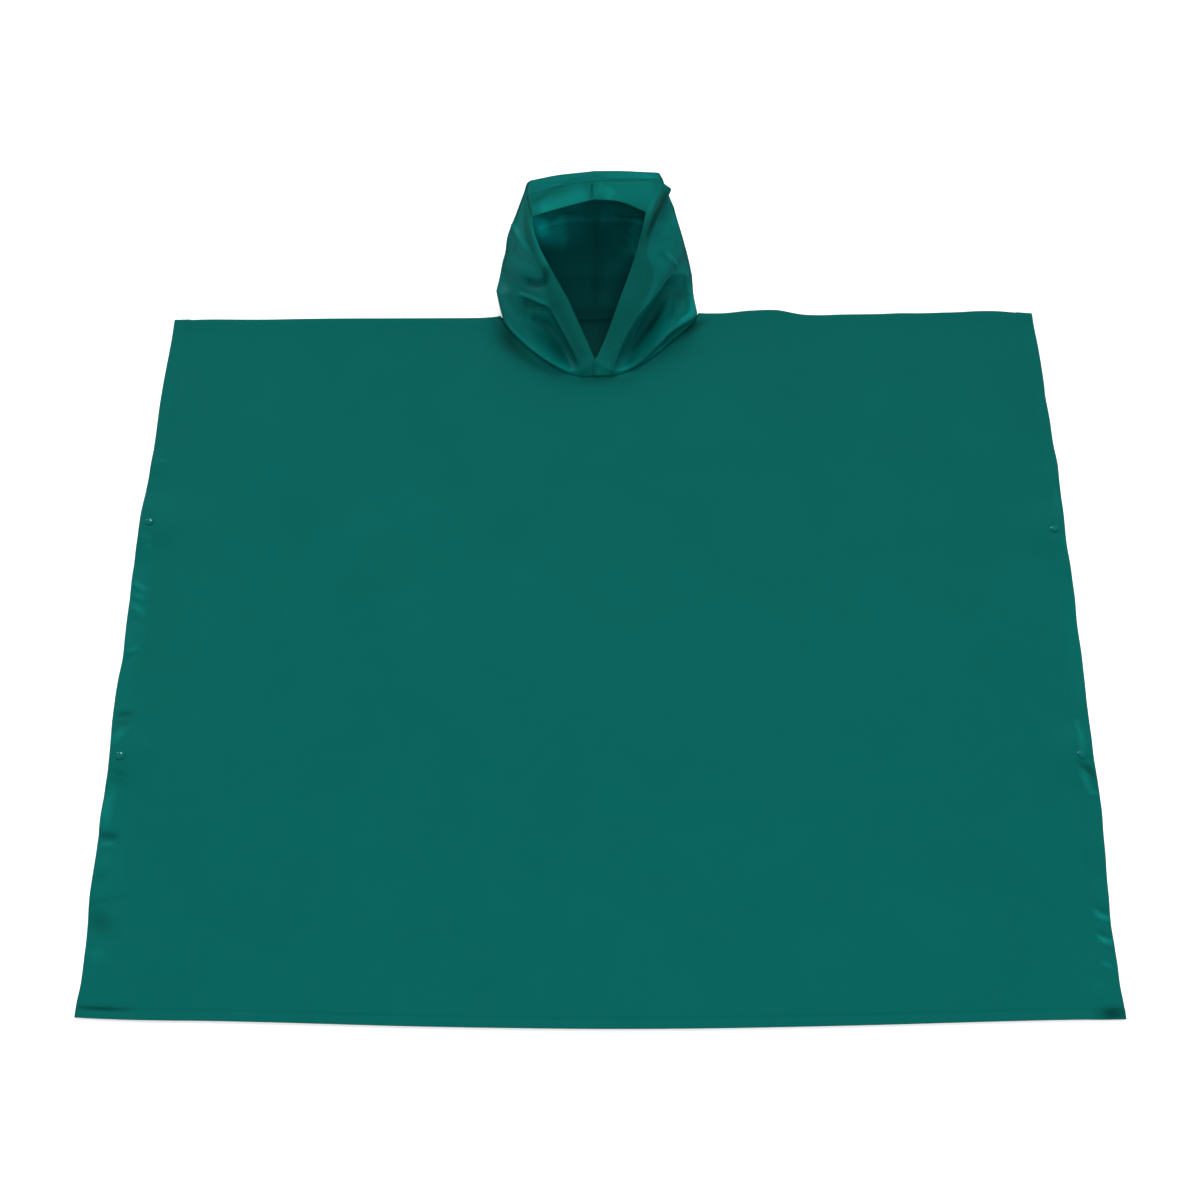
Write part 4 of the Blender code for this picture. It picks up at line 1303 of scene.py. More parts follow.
@dataclass(frozen=True)
class HoodForm:
    """Sections of the hood and the curves through them.

    A section runs from the face edge (rim) over a line within the hem (fold) and the outer
    edge of the hem (band), down the side wall (valley, crest, flank, heel), and along the
    surface (floor) to the centre back seam (spine): x, y from the shoulder line, and z, in
    millimetres.  The first section is the neck line, as places on it.
    """

    cut: BodyCut
    lie: Lie
    neck_places: tuple = (0, 0.5, 1, 2, 3, 5, 7, 10, 11)
    sections: dict = field(default_factory=lambda: {
        Side.LEFT: {
            "roll": ((-7, -92, 26), (-16, -98, 23), (-26, -103, 19), (-43, -101, 14),
                     (-68, -94, 21), (-107, -66, 27), (-142, -22, 28), (-134, 16, 0),
                     (-7, 18, 0)),
            "groove": ((-22, -62, 43), (-32, -69, 43), (-43, -73, 41), (-55, -54, 14),
                       (-82, -45, 25), (-114, -34, 42), (-148, 0, 34), (-133, 42, 0),
                       (-7, 50, 0)),
            "ridge": ((-46, -18, 74), (-57, -24, 72), (-70, -29, 66), (-84, -21, 65),
                      (-103, -8, 60), (-126, 6, 53), (-152, 18, 42), (-130, 72, 0),
                      (-7, 84, 0)),
            "cheek": ((-71, 17, 102), (-76, 14, 101), (-82, 11, 97.5), (-108, 20, 84),
                      (-128, 34, 73), (-141, 50, 60), (-145, 72, 38), (-126, 102, 0),
                      (-7, 118, 0)),
            "jaw": ((-84, 37, 116.5), (-88.5, 35, 114.5), (-94, 34, 108.5), (-115, 43, 95),
                    (-131.5, 57, 81), (-139.5, 72, 63), (-139, 92, 38), (-121, 118, 0),
                    (-7, 134, 0)),
            "temple": ((-93, 58, 130), (-98.5, 57.5, 126), (-105, 59, 118), (-121, 66, 105),
                       (-134, 80, 88), (-137, 94, 66), (-132, 112, 38), (-116, 134, 0),
                       (-7, 150, 0)),
            "flap": ((-94, 68, 136), (-100.5, 78, 136), (-108, 89, 132), (-114, 102, 126),
                     (-119, 115, 107), (-125, 128, 76), (-119, 144, 38), (-104, 152, 0),
                     (-7, 162, 0)),
            "corner": ((-95, 77, 140), (-100, 92, 143), (-104, 110, 146), (-99, 130, 150.5),
                       (-105, 149, 127), (-111, 160, 86), (-104, 168, 38), (-92, 166, 0),
                       (-7, 170, 0)),
            "brow": ((-53, 85, 149), (-54, 101, 155), (-56, 116, 159), (-57, 131, 159),
                     (-58, 151, 140), (-58, 168, 98), (-55, 180, 48), (-50, 182, 8),
                     (-7, 178, 0)),
            "top": SEAM_SECTION,
        },
        Side.RIGHT: {
            "roll": ((-7, -92, 26), (6, -99, 22), (18, -104, 17), (35, -99, 13),
                     (60, -88, 20), (102, -46, 29), (141, -13, 26), (130, 16, 0),
                     (-7, 18, 0)),
            "groove": ((8, -62, 40), (19, -69, 39), (31, -73, 38), (46, -48, 13),
                       (72, -12, 16), (98, 1, 32), (134, 12, 33), (128, 44, 0), (-7, 50, 0)),
            "ridge": ((28, -20, 72), (41, -28, 67), (54, -35, 59), (69, -22, 65),
                      (85, -2, 70), (106, 26, 71), (131, 38, 54), (124, 76, 0), (-7, 84, 0)),
            "cheek": ((45, 17, 97), (60, 14, 92), (77, 14, 85), (92, 24, 86),
                      (107, 40, 83), (121, 60, 78), (129, 76, 47), (120, 104, 0),
                      (-7, 118, 0)),
            "jaw": ((53, 36, 112), (56, 35.5, 111), (68, 36, 103), (87, 46, 97), (103, 60, 95),
                    (118, 75, 91), (122, 95, 46), (112, 121, 0), (-7, 134, 0)),
            "temple": ((60, 56, 127), (63, 62, 125.5), (74, 69, 109), (84, 74, 104),
                       (99, 83, 105), (112, 92, 103), (114, 116, 45), (104, 138, 0),
                       (-7, 150, 0)),
            "flap": ((64, 74, 136), (88, 117, 143), (104, 126, 138), (99, 122, 121),
                     (104, 118, 114), (109, 128, 92), (107, 146, 42), (94, 154, 0),
                     (-7, 162, 0)),
            "corner": ((66, 84, 140), (75, 112, 147), (82, 133, 152), (85.5, 149, 146.5),
                       (93, 154, 122), (98, 160, 86), (96, 168, 40), (80, 168, 0),
                       (-7, 170, 0)),
            "brow": ((30, 95, 149), (32, 110, 155), (34, 125, 160), (37, 138.5, 161),
                     (38, 153, 140), (38, 168, 98), (36, 180, 48), (32, 182, 8),
                     (-7, 178, 0)),
            "top": SEAM_SECTION,
        },
    })
    across_steps: tuple = (8, 10, 12, 12, 12, 12, 12, 12)
    along_steps: tuple = (9, 16, 18, 18, 9, 11, 12, 12, 14, 14)
    sharp_columns: tuple = (1, 2)
    sharp_rows: dict = field(default_factory=lambda: {
        Side.LEFT: (1, 3, 8), Side.RIGHT: (1, 3, 7, 8),
    })
    shoulder_lift: float = 0.0030
    neck_tuck: float = 0.0002
    rounding: int = 2

    @property
    def band_steps(self) -> int:
        """Columns from the rim to the outer edge of the hem."""
        return sum(self.across_steps[:2])

    def neck_row(self, side: Side, places: Array) -> Array:
        """Points of the hood's lower edge at places on the neck line.

        Args:
            side: The half.
            places: The places.

        Returns:
            A point for each place.
        """
        places = np.asarray(places, dtype=float)
        plan = self.cut.neck_place(side, places)
        on_front = self.cut.neck_place(side, np.minimum(places, self.cut.shoulder_knot - 1))
        front = self.lie.top(on_front[:, 0], on_front[:, 1]) - self.neck_tuck
        knot = self.cut.shoulder_knot
        share = np.clip(places - (knot - 1), 0.0, 2.0)
        edge = np.where(share < 1.0, front + (self.shoulder_lift - front) * share,
                        self.shoulder_lift * (2.0 - share))
        return np.column_stack([plan, np.maximum(edge, self.lie.film)])

    def neck_steps(self) -> Array:
        """Places on the neck line for each column of a hood half.

        Returns:
            The places.
        """
        places: list = []
        pairs = zip(self.neck_places, self.neck_places[1:], self.across_steps)
        for low, high, count in pairs:
            places.extend(low + (high - low) * k / count for k in range(count))
        return np.array(places + [self.neck_places[-1]])

    def surface(self, side: Side) -> Array:
        """Lay out a half's outer face.

        Args:
            side: The half.

        Returns:
            Points, rows from the neck up and columns from rim to spine.
        """
        sections = [self.neck_row(side, self.neck_places)]
        for section in self.sections[side].values():
            sections.append(np.array(section) * MM + (0.0, self.cut.shoulder_y, 0.0))
        across = [smooth_through(s, self.across_steps, self.sharp_columns) for s in sections]
        columns = [smooth_through(c, self.along_steps, self.sharp_rows[side])
                   for c in zip(*across)]
        grid = np.array(columns).transpose(1, 0, 2)
        grid[0] = self.neck_row(side, self.neck_steps())
        grid = relax(grid, self.rounding)
        grid[-1, :, 0] = self.cut.seam_x
        grid[:, -1, 0] = self.cut.seam_x
        sign = side.value
        grid[..., 0] = sign * np.maximum(sign * grid[..., 0], sign * self.cut.seam_x)
        grid[..., 2] = np.maximum(grid[..., 2], 0.0)
        return grid


@dataclass(frozen=True)
class Mark:
    """A fold, crease, painted highlight or painted shade of the hood, along a path.

    The path's points are x, y from the shoulder line, and z.  All sizes are in millimetres.
    """

    path: tuple
    half_width: float
    rise: float
    # Painted light where above 0, painted shade where below 0
    tone: float
    on_hem: bool = False

    def share(self, points: Array, shoulder_y: float) -> Array:
        """How strong the mark is at points: 1 on its path, 0 away from it.

        Args:
            points: Points in metres.
            shoulder_y: The shoulder line's y.

        Returns:
            The strength at each point.
        """
        path = np.array(self.path) * MM + (0.0, shoulder_y, 0.0)
        if len(path) > 2:
            path = smooth_through(path, [4] * (len(path) - 1))
        gap, along = distance_to_path(points, path)
        ends = np.clip(np.minimum(along, 1.0 - along) / 0.16, 0.0, 1.0)
        taper = 0.25 + 0.75 * ends * ends * (3.0 - 2.0 * ends)
        return bell(gap, self.half_width * MM) * taper


@dataclass(frozen=True)
class HoodMarks:
    """Folds and creases of both halves of the hood, and light and shade painted in and outside."""

    left: tuple = (
        # Ridge over the left pocket, with painted highlight
        Mark(((-119.5, 4.5, 56.3), (-110.5, -0.6, 59.7), (-100.2, -7.2, 63.3),
             (-85.1, -18.1, 66.8), (-72.4, -25.4, 68.1)), 2.0, 2.4, 0.22),
        # Left pocket, with painted shade
        Mark(((-115.2, -6.4, 52.1), (-102.4, -12.3, 53.5), (-87, -20.7, 57.2), (-73.7, -29, 61.6)),
             4.2, -3.8, -0.4),
        # Foot of the pocket, with painted shade
        Mark(((-100.1, -24.3, 41.7), (-90.2, -27.5, 38.7), (-80.7, -31.3, 35.1),
             (-70.6, -35.3, 33.4)), 2.6, -2.2, -0.3),
        # Fold under the pocket
        Mark(((-105.9, -29.6, 41.3), (-97.2, -33.2, 36.2), (-87.5, -36.3, 30.7),
             (-77.5, -39.4, 26)), 3.0, 1.8, 0),
        # Left groove beside the hem, with painted shade
        Mark(((-72.5, -30.1, 61.3), (-65.7, -38.5, 48.7), (-57.2, -48.4, 34.6), (-49.4, -60, 23.2),
             (-41.4, -78.1, 21.6), (-33.1, -95.1, 21)), 4.0, -2.0, -0.44),
        # Painted shade on the left groove's slope
        Mark(((-83.4, -27.3, 41.7), (-74.6, -37.3, 27.3), (-64.1, -52.3, 14.9),
             (-50.3, -72.8, 11.2)), 8, 0, -0.14),
        # Painted shade on the left hem, low
        Mark(((-69, -14.6, 78.4), (-53.4, -41.2, 60.4), (-37.8, -71.1, 42), (-23.2, -92.5, 26.8)),
             8, 0, -0.2, True),
        # Painted shade on the left low wall
        Mark(((-136, 14, 50.6), (-127.3, -1.9, 49.6), (-116.5, -18.4, 46.9), (-101.3, -20, 45.1)),
             7, 0, -0.26),
        # Painted shade on the left low roll
        Mark(((-118.5, -29.3, 43.1), (-102.8, -45.5, 35.9), (-85.6, -59.1, 25.8),
             (-69.4, -72.7, 19.2), (-56.6, -86.8, 15.6)), 8, 0, -0.16),
        # Left roll's edge, with painted highlight
        Mark(((-137.7, -23.9, 34.7), (-128.8, -40.3, 31.9), (-120, -50.2, 30.7),
             (-111.1, -59.4, 29.1), (-100.6, -69.5, 27.3), (-89, -78.8, 25.3)), 2.0, 1.4, 0.14),
        # Left dimple, with painted shade
        Mark(((-81.2, 21, 105.4), (-76.9, 11.2, 98.6), (-77.8, 2.8, 91.9), (-87.6, 0.8, 83.1),
             (-98.1, 5.2, 79), (-110.1, 13.8, 75.7)), 4.4, -4.2, -0.5),
        # Mound over the dimple, with faint painted light
        Mark(((-117.1, 30.6, 83.5), (-103.8, 19.9, 87.8), (-91.5, 15.2, 93.7)), 6, 1.6, 0.04),
        # Raised streak behind the left hem, with painted highlight
        Mark(((-127.8, 100.4, 94.6), (-120.8, 75.7, 109.6), (-114.8, 62.3, 110.1),
             (-107.3, 49.9, 108.8), (-98.7, 37.2, 106.6)), 3.4, 2.8, 0.36),
        # Left wall's hollow, with faint painted shade
        Mark(((-125.9, 58.7, 92.4), (-116.8, 43.5, 93.3), (-103.3, 30.1, 96.7)), 7, -1.5, -0.03),
        # Left mitre, with painted shade
        Mark(((-96.1, 74.3, 137.7), (-99.2, 88.3, 141.9), (-102.5, 102, 144.2),
             (-104, 117.3, 143.6)), 1.5, -2.0, -0.35, True),
        # Painted light on the left wall, high
        Mark(((-117.8, 59.5, 104.9), (-111.9, 47.3, 102.1), (-104.9, 34.4, 98.7)), 6, 0, 0.22),
        # Painted light on the left wall
        Mark(((-132.5, 62.7, 82.7), (-123.2, 43, 85.2), (-115.6, 27.1, 82.3)), 14, 0, 0.08),
        # Painted light on the left temple's side
        Mark(((-110.2, 112.3, 132.5), (-113, 91.7, 125.6), (-117.7, 68.2, 110.2)), 9, 0, 0.14),
        # Left lip of the face, with painted highlight
        Mark(((-99.1, 72.1, 134), (-94.7, 59.6, 130), (-89.3, 47.9, 123.6), (-83.4, 35.9, 115.7),
             (-77.4, 23.1, 106.8), (-70.5, 11, 98.1)), 2.2, 0.5, 0.5, True),
        # Left hem's edge, with painted highlight
        Mark(((-66.4, -32.2, 64.5), (-59.2, -43.4, 58.3), (-52.3, -54.7, 51.9),
             (-43.6, -69.1, 43.4), (-32.8, -84.4, 32.8), (-25.3, -97.4, 23.2)),
             1.8, 0.5, 0.12, True),
        # Crown notch, with painted shade
        Mark(((-9.5, 96.4, 151.9), (-10.4, 108.5, 156.6), (-10.5, 119.5, 160.7)),
             0.9, -1.2, -0.6, True),
        # Left fan, with painted light
        Mark(((-12.8, 103, 154.6), (-30.3, 97.2, 153.4), (-50.8, 89, 150.6), (-70.8, 83.9, 146.5),
             (-88.1, 80.3, 142.1)), 10, 1.2, 0.7, True),
        # Painted light on the left brow
        Mark(((-16.4, 112.6, 158.3), (-41.5, 102.4, 155.8), (-69.1, 93.5, 150.2),
             (-89.4, 88, 144.1)), 18, 0, 0.14, True),
        # Left fan's edge, with painted shade
        Mark(((-24.7, 123.9, 161.9), (-43.1, 119.6, 160.6), (-56.5, 113.3, 158.1),
             (-71.2, 107.1, 153.8), (-83.9, 101.3, 149.1), (-97.2, 95.3, 144.4)),
             3.2, -0.8, -0.16, True),
        # Painted light at the closed point of the face, left
        Mark(((-28.7, -103.1, 16.8), (-18.9, -101.7, 17.5), (-11.2, -100.1, 17.2)),
             10, 0, 0.22, True),
        # Painted highlight along the left rim
        Mark(((-96.2, 70.6, 135.6), (-91.9, 53.1, 126.6), (-87.9, 39.5, 117.7),
             (-82.6, 26.2, 109.2), (-76.8, 13.8, 100.7)), 3.2, 0, 0.34, True),
        # Painted light on the left brow's end
        Mark(((-95, 87.5, 142.8), (-85.2, 87.8, 145), (-71.8, 89.9, 148.4)), 6, 0, 0.17, True),
        # Painted light along the foot of the left roll
        Mark(((-143, -14, 8), (-127, -35, 8), (-109, -56, 8), (-90, -76, 8), (-69, -91, 8),
             (-44, -103, 8), (-25, -107, 7)), 6.5, 0, 0.55),
        # Long trough from the left corner, with faint painted shade
        Mark(((-108.3, 154.9, 107.5), (-84.5, 164.5, 92.6), (-57.1, 173.9, 77.3),
             (-31.7, 177.6, 65.8)), 8.5, -8, -0.05),
        # Ridge over it, with faint painted light
        Mark(((-103.4, 152.9, 118.8), (-76.9, 162.4, 105.7), (-50.6, 169.7, 94.6)), 6, 5.2, 0.04),
        # Fold up from the left heel, with faint painted shade
        Mark(((-98.8, 169, 28.1), (-80.7, 173.7, 51.5), (-60.3, 175.6, 68.2),
             (-50.5, 170.9, 90.6)), 7, -6.2, -0.05),
        # Soft ridge below the crown, with faint painted light
        Mark(((-32.7, 161.2, 121.8), (-43.4, 168.7, 99), (-38.7, 177.7, 65.7), (-31, 182, 39)),
             7, 5.4, 0.04),
        # Sag at the back's foot, with faint painted shade
        Mark(((-83.8, 173, 16.7), (-61.6, 180.4, 28.4), (-34.2, 183.2, 21.5)), 7, -5.4, -0.04),
        # Short dent
        Mark(((-69.4, 164.5, 103.6), (-62, 162.8, 112.5)), 6, -4.4, 0),
        # Centre seam, with painted shade in its groove
        Mark(SEAM_MARK_PATH, 3.4, -1.5, -0.1),
    )
    right: tuple = (
        # Painted shade on the right hem, low
        Mark(((42.4, -19.7, 71.9), (27.1, -48, 52.6), (10.8, -81, 31.6)), 8, 0, -0.08, True),
        # Painted shade on the right roll's side
        Mark(((116.7, 18.9, 48.2), (112.6, 5.9, 35.7), (106, -11.7, 29.8), (99.2, -28, 28.3)),
             6, 0, -0.22),
        # Painted shade on the right roll's foot
        Mark(((83.3, -63.9, 25.6), (69.7, -75.5, 22), (55.2, -86.5, 17.9), (40.1, -93.8, 13.3)),
             4.5, 0, -0.24),
        # Right groove's depth, with painted shade
        Mark(((37.5, -66.8, 14.3), (58.7, -37, 8.9), (80.4, -4.1, 23.2), (92.6, 7.7, 40.9)),
             5, -1, -0.2),
        # Right pleat's crest, with painted highlight
        Mark(((85.6, 126.7, 147.6), (82.7, 109.8, 142.5), (75.4, 94.2, 139.1), (68.2, 80.1, 136.2),
             (61.8, 63.5, 131), (58.2, 50, 122.9)), 2.2, 1.0, 0.24, True),
        # Right pleat's side, with painted shade
        Mark(((97.3, 125.7, 141.3), (92.8, 112.1, 134.8), (85.8, 98.9, 128.3), (78.5, 86.2, 123.8),
             (71.3, 72, 119.3), (62.5, 51.7, 115.5)), 4.2, -0.8, -0.46, True),
        # Right pleat's foot, with painted shade
        Mark(((95.7, 111.3, 129.3), (90.3, 101.6, 123), (83, 88.4, 117.1), (72.6, 71.4, 115.2),
             (65.3, 54.7, 113.4), (58.1, 41.3, 113.4)), 2.0, -1.5, -0.12),
        # Pinch, with painted highlight
        Mark(((97.3, 45.7, 92.4), (102.3, 41.4, 87.7), (107.3, 39.4, 82.3), (113.4, 37.3, 70.6)),
             2.2, 2.4, 0.5),
        # Hollow by the pinch, with painted shade
        Mark(((84.2, 43.4, 97.5), (91.4, 39.7, 93.1), (97.2, 33.4, 87.6)), 4.5, -1.8, -0.1),
        # Spot by the outline, with painted highlight
        Mark(((103.9, 89.2, 105.9), (107.3, 83.7, 104)), 2.2, 1.2, 0.16),
        # Wall's mound, with faint painted light
        Mark(((85.7, 88.6, 110.6), (92.8, 75.3, 103.2), (97.2, 65.3, 99.3)), 7, 1.8, 0.06),
        # Right groove beside the hem, with painted shade
        Mark(((24, -102.6, 13.1), (27.4, -88.4, 20.1), (36.2, -67.5, 17.5), (45.2, -48.3, 18.2),
             (54.1, -36, 31.2), (62.7, -25.2, 37.8)), 4.2, -3.6, -0.16),
        # Right groove, with painted shade
        Mark(((57, -29.9, 14.4), (68.8, -14.1, 16.7), (79.3, -2.3, 28), (87.7, 5.1, 41.7),
             (97.7, 14.4, 55.6), (110.9, 25.3, 62.5)), 7, -4.5, -0.22),
        # Right roll's crest, with painted shade
        Mark(((38.5, -95.1, 13.1), (53.7, -79.7, 15.7), (69.2, -65.9, 20.1), (84.4, -55.6, 25.6),
             (97.4, -47.1, 28.6)), 4.5, 1.8, -0.12),
        # Wedge under the right roll, with painted shade
        Mark(((127, -27.4, 22.6), (116.8, -35.4, 23), (106.3, -43.7, 22), (97.6, -51.8, 20.4),
             (88.8, -61.4, 14)), 3.2, -3.0, -0.42),
        # Lower edge of the wedge, with faint painted light
        Mark(((129.7, -24.2, 11.8), (116.2, -36.9, 11.6), (106.2, -45.9, 10.1)), 2.0, 1.0, 0.04),
        # Right facet, with painted highlight
        Mark(((109.4, -34.1, 29.8), (120.5, -24.2, 30.5), (132.6, -15.6, 30), (135.7, -1.1, 29.7),
             (133.2, 16.6, 35.5), (128.6, 25.9, 48.5)), 4.4, 2.6, 0.5),
        # Line over the facet, a crease with painted shade
        Mark(((104.8, -37.3, 29.4), (113.8, -22.5, 30.3), (124.8, -11.1, 31.2), (127, 6.2, 34.4),
             (124.5, 20.7, 46.6), (122.6, 31.3, 60.8)), 2.2, -2.4, -0.22),
        # Small fold over the facet, with faint painted light
        Mark(((106.6, 6.5, 36.1), (110.9, -5.4, 31.3), (107, -18.6, 29.7)), 3.0, 1.4, 0.03),
        # Fold on the right hem, with faint painted highlight
        Mark(((61, -17.2, 68.8), (58.7, -25.5, 64)), 2.0, 0.8, 0.06, True),
        # Nick on the right hem, with painted highlight
        Mark(((61.7, 15.4, 92.4), (63.1, 6.5, 85)), 1.4, 0.6, 0.12, True),
        # Nick low on the right hem, with painted highlight
        Mark(((18.7, -80.1, 32.7), (25.2, -75.7, 35.8)), 1.2, 0.6, 0.18, True),
        # Right fan, with painted light
        Mark(((-4.9, 112.6, 157.9), (2, 110.2, 156.7), (10.7, 104.9, 154.3), (20.4, 98.7, 151.3)),
             8, 1.0, 0.44, True),
        # Painted light on the right brow
        Mark(((4, 108.7, 156.1), (26, 106.8, 154.3), (48.9, 111.4, 152.5), (69.3, 115.7, 149.4),
             (82.9, 117.3, 145.4)), 18, 0, 0.42, True),
        # Painted light at the closed point of the face
        Mark(((-5.4, -99.1, 17.7), (5.8, -101.6, 16.9), (16.5, -102.5, 18.1)), 8, 0, 0.46, True),
        # Right fan's edge, with faint painted shade
        Mark(((-0.5, 122.2, 161.3), (10.7, 116.4, 158.8), (20.7, 109, 155.6),
             (28.9, 101.7, 151.9)), 1.8, -0.6, -0.03, True),
        # Right brow's rise, with painted light
        Mark(((81.7, 124.8, 148.8), (78.6, 107.9, 143.6), (72.6, 94.2, 140.7),
             (66.8, 78.7, 136.6)), 4, 0.6, 0.12, True),
        # Crown's edge, with painted shade
        Mark(((9.7, 123.2, 161.3), (32.2, 122.6, 159.4), (57.5, 127.3, 156), (79.1, 127.5, 150.8)),
             2.0, -0.8, -0.12, True),
        # Strip over the crown's edge, with painted light
        Mark(((1.2, 128, 162.9), (29.7, 129, 161.4), (57.5, 134.7, 156.7), (79.7, 134.5, 151.9)),
             3.0, 0.6, 0.14),
        # Painted highlight along the right rim
        Mark(((77.6, 98.1, 139.7), (71.1, 81, 132.4), (66.9, 66.1, 121.8), (64, 51.7, 113.3)),
             4.6, 0, 0.4, True),
        # Painted light along the foot of the right roll
        Mark(((100, -53, 8), (82, -71, 8), (60, -88, 8), (36, -101, 8), (18, -106, 7)),
             6.0, 0, 0.70),
        # Long trough from the right corner, with faint painted shade
        Mark(((94.5, 155.3, 110.9), (67.5, 163.6, 96.2), (41.7, 172.3, 81), (14.7, 175.5, 74.1)),
             8.5, -7.5, -0.05),
        # Ridge under it, with faint painted light
        Mark(((89.5, 162, 84.1), (62.9, 171.2, 69.4), (33.4, 178.1, 60.5)), 6, 5, 0.04),
        # Fold up from the right heel, with faint painted shade
        Mark(((86.7, 170.1, 37.6), (70.3, 173.3, 47.6), (49.4, 175.3, 63), (41.6, 173.4, 76.8)),
             6.5, -5.8, -0.05),
        # Soft ridge near the seam, with faint painted light
        Mark(((25, 161.4, 121.5), (31.3, 167.2, 102.3), (27.1, 177.5, 65.2)), 7, 4.6, 0.03),
        # Low sag, with faint painted shade
        Mark(((73.4, 172.6, 13.2), (51.2, 179.1, 20.1), (19.5, 183, 15.1)), 7, -5, -0.04),
        # Short dent by the edge
        Mark(((75.2, 158.5, 110.9), (82, 155.2, 120.5)), 5.5, -4, 0),
        # Centre seam, with painted shade in its groove
        Mark(SEAM_MARK_PATH, 3.4, -1.5, -0.1),
    )
    inside: tuple = (
        # Painted pool of light inside, left
        Mark(((-97.6, 165, 5.3), (-80.4, 159.4, 0), (-67.3, 157, 0), (-50.1, 157.1, 0)),
             18, 0, 1.7),
        # Painted pool of light inside, by the left hem
        Mark(((-103.4, 166.7, 30.2), (-98.2, 167.6, 14.7), (-92.2, 163, 0), (-86, 146.6, 0)),
             8, 0, 2.3),
        # Painted light inside, right
        Mark(((61.2, 176.3, 15.9), (59.3, 167.2, 0), (54.4, 141.1, 0), (47.2, 108.5, 0)),
             8, 0, 2.6),
        # Painted light inside, right, wide
        Mark(((32.1, 167.4, 0), (36, 122.8, 0), (29.4, 76.8, 0)), 13, 0, 0.6),
        # Painted light inside, top
        Mark(((-76.1, 173.8, 5.7), (-51.1, 181.8, 8.5), (-24.6, 182.8, 14.1)), 16, 0, 0.35),
        # Painted light inside, top right
        Mark(((-2.1, 182.2, 14.6), (21, 182.4, 6.6), (40.1, 175.1, 0)), 16, 0, 0.35),
        # Painted light inside, right by the brow
        Mark(((47.8, 179.8, 26.1), (51.2, 177.3, 4.9), (46.5, 154.7, 0)), 9, 0, 0.72),
        # Painted light inside, right, low
        Mark(((22.7, 89.3, 0), (20.7, 50.2, 0), (8.5, 14, 0)), 13, 0, 0.26),
        # Painted shade on the floor of the hood
        Mark(((-7, -40, 0), (-7, 30, 0), (-7, 90, 0)), 80, 0, -0.22),
        # Painted shade at the back of the neck
        Mark(((-110, 6, 0), (-7, 6, 0), (100, 6, 0)), 13, 0, -0.34),
        # Painted shade along the seam down the back
        Mark(((-7, 182, 30), (-7, 176, 4), (-7, 120, 0), (-7, 60, 0), (-7, 8, 0)), 4.2, 0, -0.17),
    )

    def press(self, side: Side, grid: Array, normals: Array, shoulder_y: float,
              off_hem: Array) -> Array:
        """Press the folds into a half.

        Args:
            side: The half.
            grid: Its points.
            normals: Its outward normals.
            shoulder_y: The shoulder line's y.
            off_hem: For each column, 0 on the hem and 1 off it.

        Returns:
            The points with the folds.
        """
        rise = np.zeros(grid.shape[:-1])
        for mark in self.left if side is Side.LEFT else self.right:
            if mark.rise:
                part = mark.rise * MM * mark.share(grid, shoulder_y)
                rise += part if mark.on_hem else part * off_hem[None, :]
        return grid + normals * rise[..., None]

    def painted_light(self, points: Array, shoulder_y: float) -> Array:
        """Painted light and shade of the outer face at points.

        Args:
            points: Points in metres.
            shoulder_y: The shoulder line's y.

        Returns:
            The painted light, or shade where below 0, at each point.
        """
        total = np.zeros(points.shape[:-1])
        for mark in (*self.left, *self.right):
            if mark.tone:
                total += mark.tone * mark.share(points, shoulder_y)
        return total

    def inner_painted_light(self, points: Array, shoulder_y: float) -> Array:
        """Painted light and shade of the inner face at points.

        Args:
            points: Points in metres.
            shoulder_y: The shoulder line's y.

        Returns:
            The painted light, or shade where below 0, at each point.
        """
        total = np.zeros(points.shape[:-1])
        for mark in self.inside:
            total += mark.tone * mark.share(points, shoulder_y)
        return total


